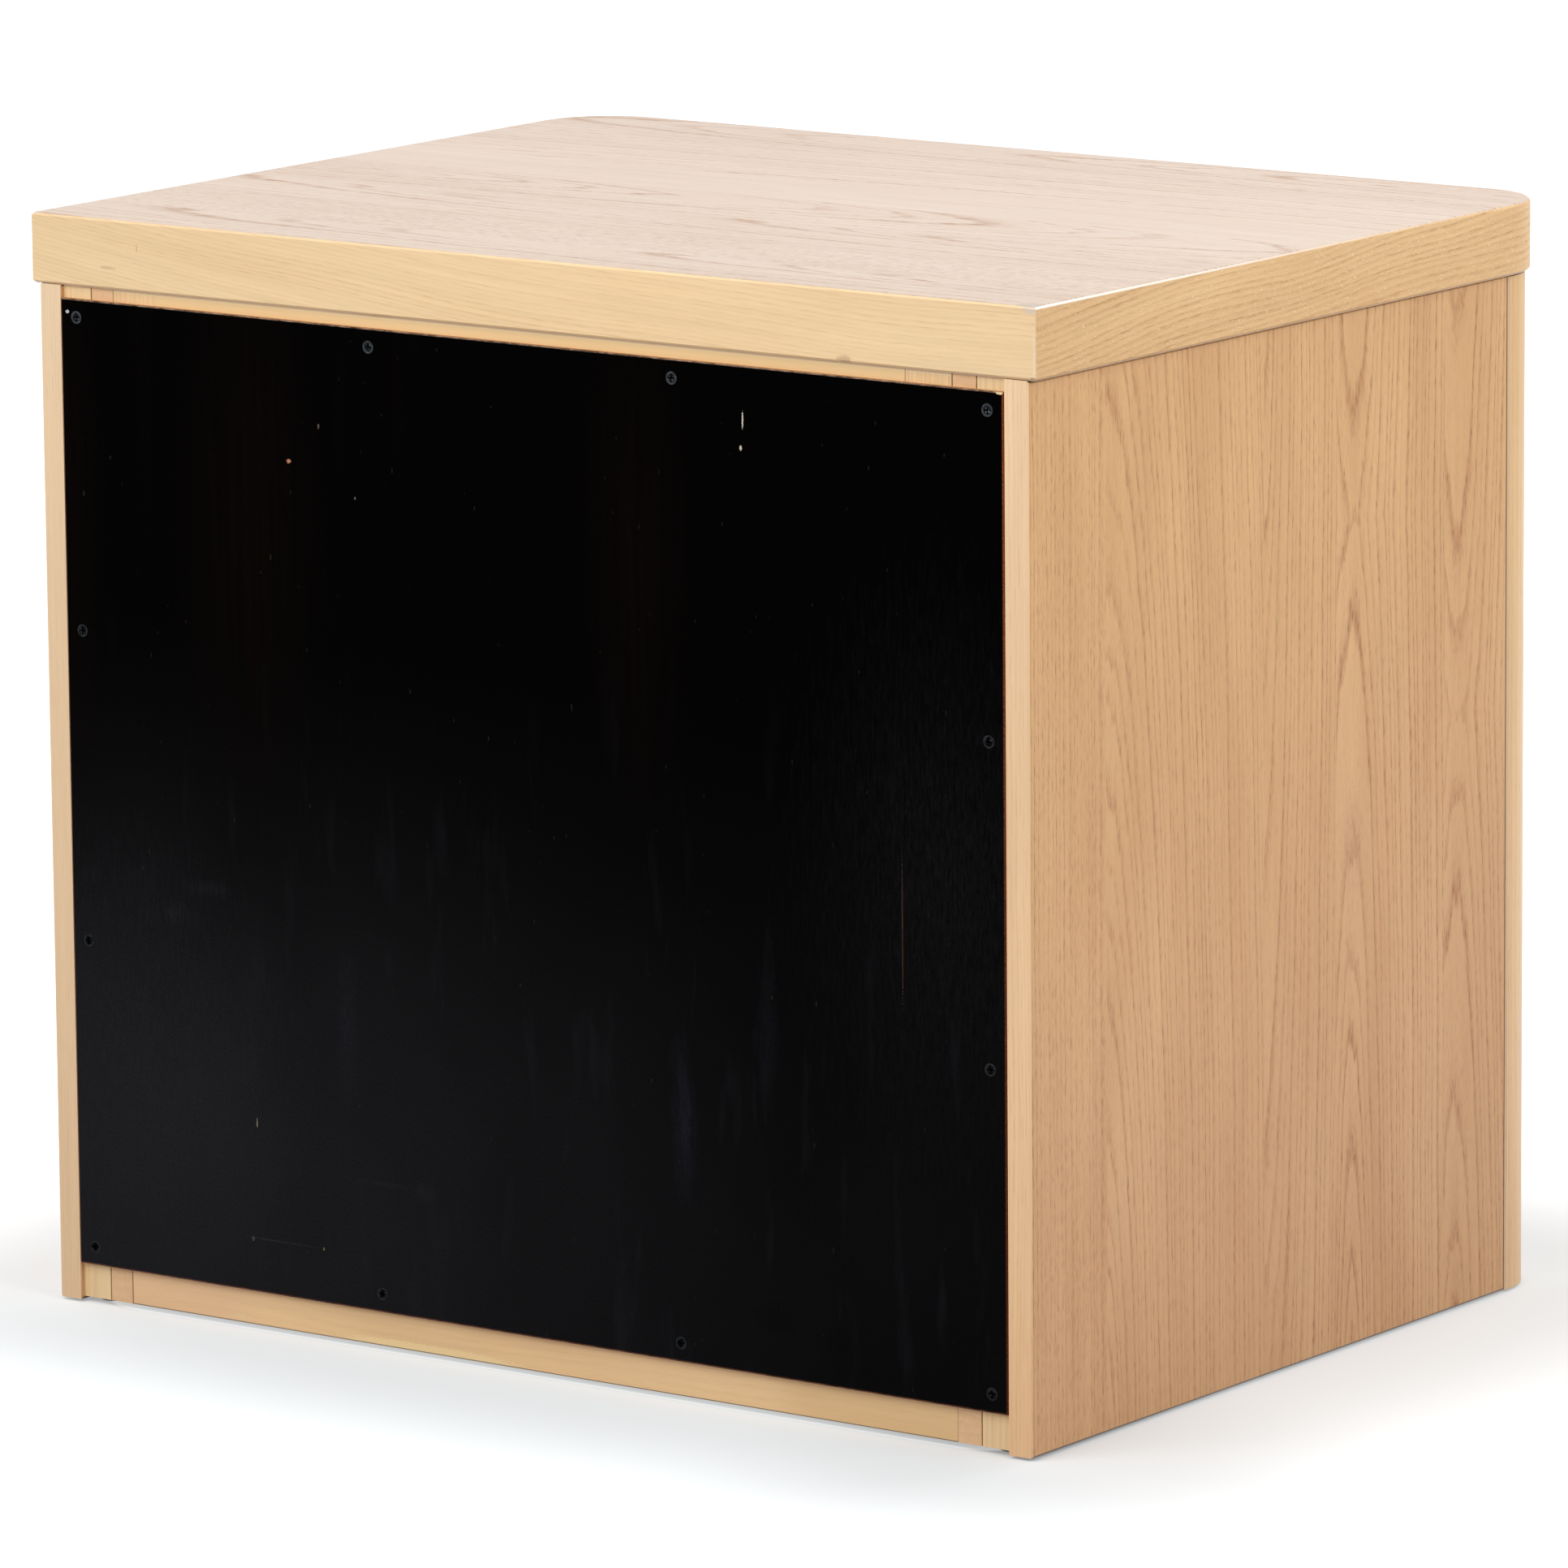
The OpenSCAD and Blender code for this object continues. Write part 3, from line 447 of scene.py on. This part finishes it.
oak_side_edge = wood(
    "oak_side_edge", "z", "x", tones((243, 208, 166), (222, 182, 138), (200, 158, 114)),
    period=0.0026, rings=0.4, pores=0.4, pore_size=(0.0008, 0.012), seed=2.0, lean=0.4,
    # Darker and redder towards the floor: painted shade of the light falling off downwards
    fade=("z", 0.02, 0.56, (0.98, 0.88, 0.80), (1.05, 1.06, 1.09)),
    marks_on="xz",
    marks=(((0.330, 0.200), (0.100, FAR), (214, 194, 164), 0.36, 0.0),),
)
oak_stile = wood(
    "oak_stile", "z", "x", tones((231, 192, 143), (210, 164, 114), (184, 136, 88)),
    period=0.0030, rings=0.5, pores=0.45, pore_size=(0.0008, 0.009), seed=6.0, lean=0.8,
    fade=("z", 0.02, 0.56, (1.06, 1.06, 1.14), (1.01, 0.98, 0.86)),
    marks_on="yz",
    marks=(
        # Pale line near the stile's rear edge: painted highlight on its eased edge
        ((stile_rear - 0.0011, 0.3), (0.0008, FAR), (250, 228, 196), 0.45, 0.1),
        # Dark line at the rear edge: painted shade in the groove beside the side panel
        ((stile_rear + 0.0002, 0.3), (0.0006, FAR), (104, 60, 36), 0.9, 0.1),
    ),
)
oak_rail = wood(
    "oak_rail", "x", "z", tones((247, 207, 157), (222, 178, 128), (204, 158, 110)),
    period=0.0060, wander=0.004, rings=0.22, pores=0.15, pore_size=(0.0008, 0.011), seed=9.0,
    lean=0.5, patch=0.6,
    marks_on="xz",
    marks=(
        ((0.290, 0.020), (0.100, 0.050), (232, 186, 146), 0.45, 0.1),
        ((-0.250, 0.020), (0.090, 0.050), (222, 182, 130), 0.55, 0.1),
        ((0.000, 0.550), (FAR, 0.040), (238, 206, 150), 0.55, 0.1),
        painted_light_under_top,
        # Pale yellow stripe along the lower edge of the bottom rail: painted highlight
        ((0.0710, 0.0045), (0.0600, 0.0030), (252, 224, 166), 0.60, 0.5),
        ((0.2000, 0.0060), (0.0035, 0.0028), (240, 206, 160), 0.45, 0.7),
        # Dark line along the bottom of the bottom rail: painted contact shadow
        ((0.0, rail_low[2]), (FAR, 0.0006), (104, 88, 66), 0.85, 0.1),
        ((rail_seam, 0.020), (0.0006, FAR), (104, 66, 42), 0.75, 0.1),
        ((-rail_seam, 0.020), (0.0004, FAR), (176, 134, 98), 0.6, 0.1),
    ),
)
packing_block = wood(
    "packing_block", "z", "x", tones((243, 208, 158), (220, 174, 124), (190, 142, 98)),
    period=0.0030, rings=0.40, pores=0.3, pore_size=(0.0008, 0.01), seed=13.0, roughness=0.6,
    lean=0.6,
    marks_on="xz",
    marks=(
        painted_light_under_top,
        ((-rail_seam, 0.550), (0.0005, FAR), (84, 50, 30), 0.9, 0.1),
        ((rail_seam, 0.550), (0.0004, FAR), (150, 104, 72), 0.7, 0.1),
        ((-block_seam, 0.550), (0.0004, FAR), (130, 90, 60), 0.6, 0.1),
    ),
)
pine_frame = wood(
    "pine_frame", "z", "x", tones((245, 214, 166), (222, 178, 128), (208, 160, 114)),
    period=0.0044, rings=0.45, pores=0.1, pore_size=(0.0008, 0.02), seed=12.0, roughness=0.6,
    lean=0.6,
)
beech_dowel = wood(
    "beech_dowel", "x", "z", tones((214, 172, 128), (190, 146, 102), (160, 112, 74)),
    period=0.0020, rings=0.4, pores=0.5, pore_size=(0.0005, 0.003), seed=21.0, roughness=0.6,
)


def birch(name, grain, across, seed, leaves, shades=BIRCH):
    """Birch ply: broad, faint figure with hardly a pore."""
    return wood(
        name, grain, across, shades, leaves, seed=seed,
        period=0.005, wander=0.004, rings=0.4, pores=0.15, roughness=0.5,
    )


BOX_LEAVES = ((-FAR, 0.12, 0.06, 0.12, 0.3, 1.0, 0.1), (0.3, 0.38, 0.06, 0.12, -0.3, 1.0, 0.1))
birch_board = birch(
    "birch_board", "y", "z", 15.0,
    ((-FAR, 0.20, 0.05, 0.10, 0.3, 1.0, 0.1), (0.3, 0.43, 0.05, 0.10, -0.3, 1.0, 0.1)),
    tones((234, 192, 148), (220, 174, 128), (202, 154, 108)),
)
birch_box = birch("birch_box", "y", "z", 17.0, BOX_LEAVES)
birch_box_across = birch("birch_box_across", "x", "z", 18.0, BOX_LEAVES)
birch_base = birch(
    "birch_base", "x", "y", 19.0,
    ((-FAR, -0.15, 0.06, 0.12, 0.3, 1.0, 0.1), (-0.02, 0.08, 0.06, 0.12, -0.3, 1.0, 0.1)),
)


# Black back panel
STAIN = (0.0006, 0.0005, 0.0005, 1.0)
DUST_AND_REFLECTION = (0.0155, 0.0150, 0.0168, 1.0)
WORN_BROWN = (0.0030, 0.0016, 0.0011, 1.0)
RUN_BLUE = (0.020, 0.021, 0.026, 1.0)
PIT = (0.05, 0.040, 0.030, 1.0)


def stained_face(t, cloud, grain):
    """Black stain: grey towards the floor and towards +X, from dust and a painted reflection of the floor,
    with brown showing through near the top.
    """
    x, z = t.xyz["x"], t.xyz["z"]
    # Grey low down and towards +X: dust and a painted reflection of the floor
    dust_and_reflection = t.range(z, 0.40, 0.06, smooth=True)
    dust_and_reflection = t.math("MULTIPLY", dust_and_reflection, t.range(x, -0.25, 0.32, 0.25, 1.0, smooth=True))
    dust_and_reflection = t.math("MULTIPLY", dust_and_reflection, t.range(cloud, 0.25, 0.75, 0.75, 1.1))
    colour = t.mix(dust_and_reflection, STAIN, DUST_AND_REFLECTION)
    hang = t.sheet_noise(x, z, 26.0, 2.4, 6.0, 2.0)
    brown = t.math("MULTIPLY", t.range(hang, 0.55, 0.75), t.range(z, 0.26, 0.50, 0.0, 0.5))
    for middle, half in (
        ((0.182, 0.440), (0.055, 0.190)),
        ((-0.076, 0.450), (0.038, 0.170)),
        ((0.312, 0.43), (0.03, 0.2)),
    ):
        brown = t.math("MAXIMUM", brown, t.blot(x, z, middle, half, 0.1, 0.1))
    brown = t.math("MULTIPLY", brown, t.range(grain, 0.30, 0.70, 0.3, 1.0))
    colour = t.mix(brown, colour, WORN_BROWN)
    drip = t.sheet_noise(x, z, 60.0, 9.0, 3.0, 3.0, 0.6)
    runs = t.math("MULTIPLY", t.range(drip, 0.58, 0.85), t.range(z, 0.45, 0.15, smooth=True))
    colour = t.tint(colour, runs, 0.35, RUN_BLUE)
    pit = t.sheet_noise(x, z, 420.0, 130.0, 7.0, 1.0)
    return t.tint(colour, t.range(pit, 0.76, 0.80), 0.25, PIT)


def chips(t, colour):
    """Small chips and nicks, each (centre, half size, sRGB tint, amount)."""
    for middle, half, tint, amount in (
        ((0.1545, 0.4805), (0.0015, 0.0011), (190, 130, 100), 0.9),
        ((-0.1453, 0.5280), (0.0005, 0.0044), (216, 204, 190), 0.9),
        ((-0.1440, 0.5133), (0.0008, 0.0014), (210, 196, 180), 0.9),
        ((0.1840, 0.1160), (0.0004, 0.0026), (150, 138, 120), 0.8),
        ((-0.2445, 0.2710), (0.0004, 0.0380), (96, 72, 54), 0.5),
        ((0.1880, 0.0515), (0.0010, 0.0014), (110, 108, 104), 0.3),
        ((0.1395, 0.0520), (0.0006, 0.0008), (120, 104, 84), 0.8),
        ((0.1340, 0.5010), (0.0006, 0.0016), (110, 94, 86), 0.7),
        ((0.1100, 0.4645), (0.0006, 0.0008), (120, 110, 104), 0.7),
        ((-0.3072, 0.5558), (0.0026, 0.0009), (240, 210, 160), 1.0),
        ((0.3053, 0.5490), (0.0012, 0.0009), (196, 204, 214), 0.9),
    ):
        hit = t.blot(t.xyz["x"], t.xyz["z"], middle, half, 0.75)
        colour = t.tint(colour, hit, amount, linear(tint))
    return colour


def worn_edges(t, colour):
    """The stain is rubbed off along the top, bottom and near upright edges of the face."""
    x, z = t.xyz["x"], t.xyz["z"]
    top, bottom, near = board_high[2], board_low[2], board_low[0]
    chipped = t.range(t.sheet_noise(x, z, 160.0, 900.0, 4.0, 3.0, 0.7), 0.40, 0.62)
    colour = t.tint(
        colour, t.range(z, top - 0.0009, top - 0.0004), t.scale_add(chipped, 0.6, 0.1),
        linear((206, 168, 140)),
    )
    colour = t.tint(
        colour, t.range(z, bottom + 0.0009, bottom + 0.0004), t.scale_add(chipped, 0.4, 0.2),
        linear((150, 96, 72)),
    )
    upright = t.range(x, near + 0.0012, near + 0.0004)
    upright = t.math("MULTIPLY", upright, t.range(z, 0.02, 0.50, 0.25, 0.9))
    return t.tint(colour, upright, t.scale_add(chipped, 0.5, 0.5), linear((152, 82, 46)))


def smudges(t, colour):
    """Rubbed patches, runs and a scratch, then two dark spots near the bottom edge. The broad grey patch
    low at +X also carries a painted reflection of the floor.
    """
    x, z = t.xyz["x"], t.xyz["z"]
    streaks = t.range(t.sheet_noise(x, z, 700.0, 110.0, 5.0, 3.0, 0.7), 0.36, 0.62, 0.25, 1.0)
    for middle, half, tint, amount in (
        ((-0.2750, 0.3000), (0.1000, 0.1600), (26, 25, 27), 0.56),
        # Broad grey patch low at +X: smudging and a painted reflection of the floor
        ((0.2700, 0.1200), (0.1100, 0.1400), (37, 36, 39), 0.54),
        ((0.2380, 0.2260), (0.0120, 0.0070), (40, 41, 47), 0.35),
        ((0.2160, 0.2420), (0.0170, 0.0050), (38, 39, 45), 0.30),
        ((0.1210, 0.1760), (0.0080, 0.0450), (38, 39, 48), 0.35),
        ((-0.1035, 0.1480), (0.0080, 0.0400), (40, 42, 54), 0.40),
        ((-0.1580, 0.2100), (0.0070, 0.0450), (36, 37, 45), 0.25),
        ((0.0690, 0.0915), (0.0080, 0.0060), (42, 42, 47), 0.35),
        ((0.1000, 0.0930), (0.0340, 0.0020), (40, 40, 44), 0.30),
        ((0.1700, 0.0522), (0.0300, 0.0005), (92, 90, 84), 0.26),
    ):
        hit = t.math("MULTIPLY", t.blot(x, z, middle, half, 0.5, 0.1, (420.0, 60.0)), streaks)
        colour = t.tint(colour, hit, amount, linear(tint))
    for middle, half in (
        ((-0.1630, 0.0540), (0.0140, 0.0095)),
        ((-0.2010, 0.0460), (0.0090, 0.0085)),
    ):
        spot = t.blot(x, z, middle, half, 0.5, 0.6, (130.0, 130.0))
        colour = t.tint(colour, spot, 0.45, linear((9, 10, 9)))
    return colour


def raw_plies(t, colour):
    """The sawn edges of the panel show its plies, redder on the upright ones."""
    ply = 0.001
    face = t.tree.nodes.new("ShaderNodeNewGeometry").outputs["Normal"]
    split = t.tree.nodes.new("ShaderNodeSeparateXYZ")
    t.tree.links.new(face, split.inputs[0])
    edge = t.math("LESS_THAN", t.math("ABSOLUTE", split.outputs[1]), 0.6)
    depth = t.math("SUBTRACT", t.xyz["y"], board_low[1])
    layer = t.math("FRACT", t.math("MULTIPLY", depth, 1.0 / ply))
    raw = t.mix(t.math("GREATER_THAN", layer, 0.5), linear((206, 168, 120)), linear((150, 92, 58)))
    raw = t.tint(raw, t.math("ABSOLUTE", split.outputs[0]), 0.7, linear((150, 76, 44)))
    return t.mix(edge, colour, raw)


def black_board():
    """Thin plywood, stained black and rubbed with handling."""
    t = Tree("black_board")
    x, z = t.xyz["x"], t.xyz["z"]
    grain = t.sheet_noise(x, z, 230.0, 7.0, 0.0, 3.0, 0.6)
    cloud = t.sheet_noise(x, z, 9.0, 6.0, 2.0, 3.0, 0.55)
    colour = stained_face(t, cloud, grain)
    colour = chips(t, colour)
    colour = worn_edges(t, colour)
    colour = smudges(t, colour)
    dust = t.sheet_noise(x, z, 1400.0, 700.0, 9.0, 2.0, 0.7)
    colour = t.shade(colour, t.range(dust, 0.30, 0.70, 0.74, 1.26))
    colour = raw_plies(t, colour)
    rough = t.range(cloud, 0.3, 0.7, 0.38, 0.50)
    rough = t.math("ADD", rough, t.scale_add(grain, 0.1, -0.05))
    return t.finish(colour, rough, t.bump(grain, 0.00006, 0.4), specular=0.005)


# Screws of the back panel
def nearest_screw(t, inset):
    """Distance from the nearest screw, in a grid of four by four over the panel."""
    offsets = []
    for i, axis in ((0, "x"), (2, "z")):
        pitch = (board_high[i] - board_low[i] - 2.0 * inset) / 3.0
        shifted = t.scale_add(t.xyz[axis], 1.0, pitch / 2.0 - board_low[i] - inset)
        offsets.append(t.scale_add(t.math("FLOORED_MODULO", shifted, pitch), 1.0, -pitch / 2.0))
    return t.vector("LENGTH", t.join(offsets[0], offsets[1], 0.0))


def board_screws():
    """Blackened heads, lighter along the upper rows; their rims are rubbed and carry a painted highlight,
    most of all along the upper row, with painted glints round the cross and painted shade in its recess.
    """
    t = Tree("board_screws")
    head_r = 0.0035
    away = nearest_screw(t, 0.010)
    rubbed = t.noise(t.where, 420.0, 2.0)
    upper = t.range(t.xyz["z"], 0.36, 0.54, 0.16, 1.0)
    colour = t.mix(upper, (0.0010, 0.0010, 0.0010, 1.0), (0.0120, 0.0132, 0.0150, 1.0))
    inner = t.math("MULTIPLY", t.range(away, 0.0014, 0.0018), t.range(away, 0.0026, 0.0022))
    inner = t.math("MULTIPLY", inner, t.range(rubbed, 0.45, 0.60))
    colour = t.tint(colour, inner, 0.4, (0.030, 0.032, 0.034, 1.0))
    # Painted shade in the cross recess
    recess = t.math("LESS_THAN", t.xyz["y"], board_high[1] - 0.0003)
    colour = t.mix(recess, colour, (0.0004, 0.0004, 0.0004, 1.0))
    # Lighter ring at the rim: rubbed paint and a painted highlight
    ring = t.range(away, head_r - 0.0012, head_r - 0.0006)
    ring = t.math("MULTIPLY", ring, t.range(away, head_r, head_r - 0.0002))
    ring = t.math("MULTIPLY", ring, t.range(rubbed, 0.30, 0.60, 0.35, 1.0))
    colour = t.tint(colour, ring, t.scale_add(upper, 0.7, 0.3), (0.070, 0.078, 0.086, 1.0))
    # Small painted glints round the cross
    glint = t.range(t.noise(t.where, 900.0, 1.0), 0.60, 0.68)
    glint = t.math("MULTIPLY", glint, t.range(away, 0.0024, 0.0018))
    colour = t.tint(colour, glint, upper, (0.160, 0.175, 0.190, 1.0))
    rough = t.scale_add(rubbed, 0.2, 0.35)
    return t.finish(colour, rough, t.bump(rubbed, 0.00004, 0.4), specular=0.006)


# Bright steel and plastic
def darker(tone, factor):
    return tuple(c * factor for c in tone[:3]) + (1.0,)


def steel(name, tone, along, brushed):
    """Zinced steel with fine lines from rolling or drawing along one axis."""
    t = Tree(name)
    roughness = 0.30
    across_scale, along_scale = 2500.0, 40.0
    stretch = tuple(along_scale if axis == along else across_scale for axis in "xyz")
    lines = t.noise(t.vector("MULTIPLY", t.where, stretch), 1.0, 2.0)
    cloud = t.noise(t.where, 60.0, 3.0)
    colour = t.mix(t.range(cloud, 0.3, 0.7), tone, darker(tone, 0.82))
    rough = t.scale_add(lines, brushed, roughness - brushed / 2)
    rough = t.math("ADD", rough, t.scale_add(cloud, 0.12, -0.06))
    return t.finish(colour, rough, t.bump(lines, 0.00003, 0.3), metallic=1.0)


def plastic(name, tone, roughness):
    t = Tree(name)
    grit = t.noise(t.where, 1500.0, 2.0)
    cloud = t.noise(t.where, 120.0, 2.0)
    colour = t.mix(t.range(cloud, 0.3, 0.7), tone, darker(tone, 0.8))
    rough = t.scale_add(grit, 0.15, roughness)
    return t.finish(colour, rough, t.bump(grit, 0.00008, 0.4))


zinc_steel = steel("zinc_steel", (0.66, 0.66, 0.65, 1.0), "z", 0.12)
slide_steel = steel("slide_steel", (0.62, 0.63, 0.64, 1.0), "y", 0.16)
grey_glide = plastic("grey_glide", linear((186, 196, 190)), 0.45)

# Which piece has which finish
finishes = {
    "top_panel": oak_top,
    "top_edge_band": oak_edge,
    "top_rear_edge_band": oak_rear_edge,
    "side_rear_edge_bands": oak_side_edge,
    "top_rear_rail": oak_rail,
    "top_rail_end_blocks": packing_block,
    "bottom_rear_rail": oak_rail,
    "bottom_front_rail": oak_rail,
    "top_front_rail": birch_box_across,
    "middle_front_rail": birch_box_across,
    "bottom_panel": birch_base,
    "top_cleats": pine_frame,
    "back_panel": black_board(),
    "back_panel_screws": board_screws(),
    "case_screws": zinc_steel,
    "dowels": beech_dowel,
    "floor_glides": grey_glide,
}
for side in ("left", "right"):
    finishes["side_panel_" + side] = oak_side
    finishes["front_stile_" + side] = oak_stile
    finishes["inner_side_" + side] = birch_board
    finishes["rear_spacer_" + side] = pine_frame
    finishes["front_spacer_" + side] = pine_frame
for drawer in ("upper", "lower"):
    finishes[drawer + "_front"] = oak_front
    finishes[drawer + "_box_bottom"] = birch_base
    finishes[drawer + "_screws"] = zinc_steel
    finishes[drawer + "_stop_pads"] = grey_glide
    for wall in ("front", "back"):
        finishes[drawer + "_box_" + wall] = birch_box_across
    for race in ("outer", "inner"):
        finishes[drawer + "_" + race + "_ball_cages"] = slide_steel
    for side in ("left", "right"):
        finishes[drawer + "_box_" + side] = birch_box
        for member in ("outer", "middle", "inner"):
            finishes[drawer + "_slide_" + side + "_" + member] = slide_steel
for name, node in nodes.items():
    node.data.materials.clear()
    node.data.materials.append(finishes[name])


# Floor and light
def shown_rays(tree):
    """1 on the rays that see the floor or the sky, and 0 on those that carry its light."""
    path = tree.nodes.new("ShaderNodeLightPath")
    total = path.outputs["Is Camera Ray"]
    for kind in ("Is Glossy Ray", "Is Transmission Ray"):
        add = tree.nodes.new("ShaderNodeMath")
        add.operation = "ADD"
        add.use_clamp = True
        tree.links.new(total, add.inputs[0])
        tree.links.new(path.outputs[kind], add.inputs[1])
        total = add.outputs[0]
    return total


def floor_glow(t):
    """How bright the floor is shown: white far from the cabinet, less close to it, which paints the
    cabinet's soft shadow.

    It goes by the distance from a footprint with round corners. Right under the cabinet it is brighter
    again, as painted light, and outside the cabinet's corner at -X, +Y a painted shade makes it a little
    darker.
    """
    corner_r = 0.044
    inside_x = cad_box[1][0] - 0.012 - corner_r
    inside_y = cad_box[1][1] - 0.004 - corner_r
    off = t.vector("SUBTRACT", t.vector("ABSOLUTE", t.where), (inside_x, inside_y, 1.0))
    away = t.vector("LENGTH", t.vector("MAXIMUM", off))
    far = t.range(away, corner_r + 0.048, corner_r + 0.348, 0.33, 0.88, smooth=True)
    near = t.range(away, corner_r, corner_r + 0.002, 0.22, 0.0)
    corner = (cad_box[0][0] - 0.04, cad_box[1][1] + 0.03, 0.0)
    dim = t.range(t.vector("DISTANCE", t.where, corner), 0.05, 0.24, -0.11, 0.0, smooth=True)
    return t.math("ADD", t.math("ADD", far, near), dim)


def stage_floor():
    reach = 30.0
    mesh = bpy.data.meshes.new("floor")
    corners = [(-reach, -reach, 0.0), (reach, -reach, 0.0), (reach, reach, 0.0), (-reach, reach, 0.0)]
    mesh.from_pydata(corners, [], [(0, 1, 2, 3)])
    floor = bpy.data.objects.new("floor", mesh)
    bpy.context.scene.collection.objects.link(floor)
    t = Tree("floor")
    shown = shown_rays(t.tree)
    matte = t.tree.nodes.new("ShaderNodeBsdfDiffuse")
    t.put(matte.inputs[0], t.mix(shown, (0.40, 0.40, 0.40, 1.0), (0.59, 0.60, 0.606, 1.0)))
    glow = t.tree.nodes.new("ShaderNodeEmission")
    glow.inputs[0].default_value = (0.97, 1.0, 1.015, 1.0)
    t.put(glow.inputs[1], t.math("MULTIPLY", shown, floor_glow(t)))
    both = t.tree.nodes.new("ShaderNodeAddShader")
    t.tree.links.new(matte.outputs[0], both.inputs[0])
    t.tree.links.new(glow.outputs[0], both.inputs[1])
    out = t.tree.nodes.new("ShaderNodeOutputMaterial")
    t.tree.links.new(both.outputs[0], out.inputs[0])
    mesh.materials.append(t.material)


def sky(strength):
    """An even sky that lights the cabinet at this strength and is itself shown as white."""
    world = bpy.data.worlds.new("studio")
    bpy.context.scene.world = world
    world.use_nodes = True
    tree = world.node_tree
    tree.nodes.clear()
    both = tree.nodes.new("ShaderNodeMixShader")
    tree.links.new(shown_rays(tree), both.inputs[0])
    for i, level in enumerate((strength, 1.0)):
        plain = tree.nodes.new("ShaderNodeBackground")
        plain.inputs[0].default_value = (1.0, 1.0, 1.0, 1.0)
        plain.inputs[1].default_value = level
        tree.links.new(plain.outputs[0], both.inputs[i + 1])
    out = tree.nodes.new("ShaderNodeOutputWorld")
    tree.links.new(both.outputs[0], out.inputs[0])


def softbox(name, direction, distance, size, level):
    """level is what the lamp adds on a white matte face that looks straight at it."""
    aim = Vector((0.0, 0.0, 0.35))
    place = aim + Vector(direction).normalized() * distance
    lamp = bpy.data.lights.new(name, "AREA")
    lamp.shape = "SQUARE"
    lamp.size = size
    lamp.energy = level * math.pi ** 2 * distance ** 2
    thing = bpy.data.objects.new(name, lamp)
    thing.visible_glossy = False
    bpy.context.scene.collection.objects.link(thing)
    thing.location = place
    thing.rotation_euler = (aim - place).to_track_quat("-Z", "Y").to_euler()


stage_floor()
sky(0.46)
softbox("key", (0.18, 0.85, 0.68), distance=2.2, size=1.8, level=0.62)
softbox("fill", (-0.90, 0.08, 0.58), distance=2.0, size=1.6, level=0.44)
softbox("front", (-0.25, -0.90, 0.28), distance=2.8, size=2.2, level=0.34)
softbox("right", (0.95, -0.10, 0.28), distance=2.8, size=2.2, level=0.26)
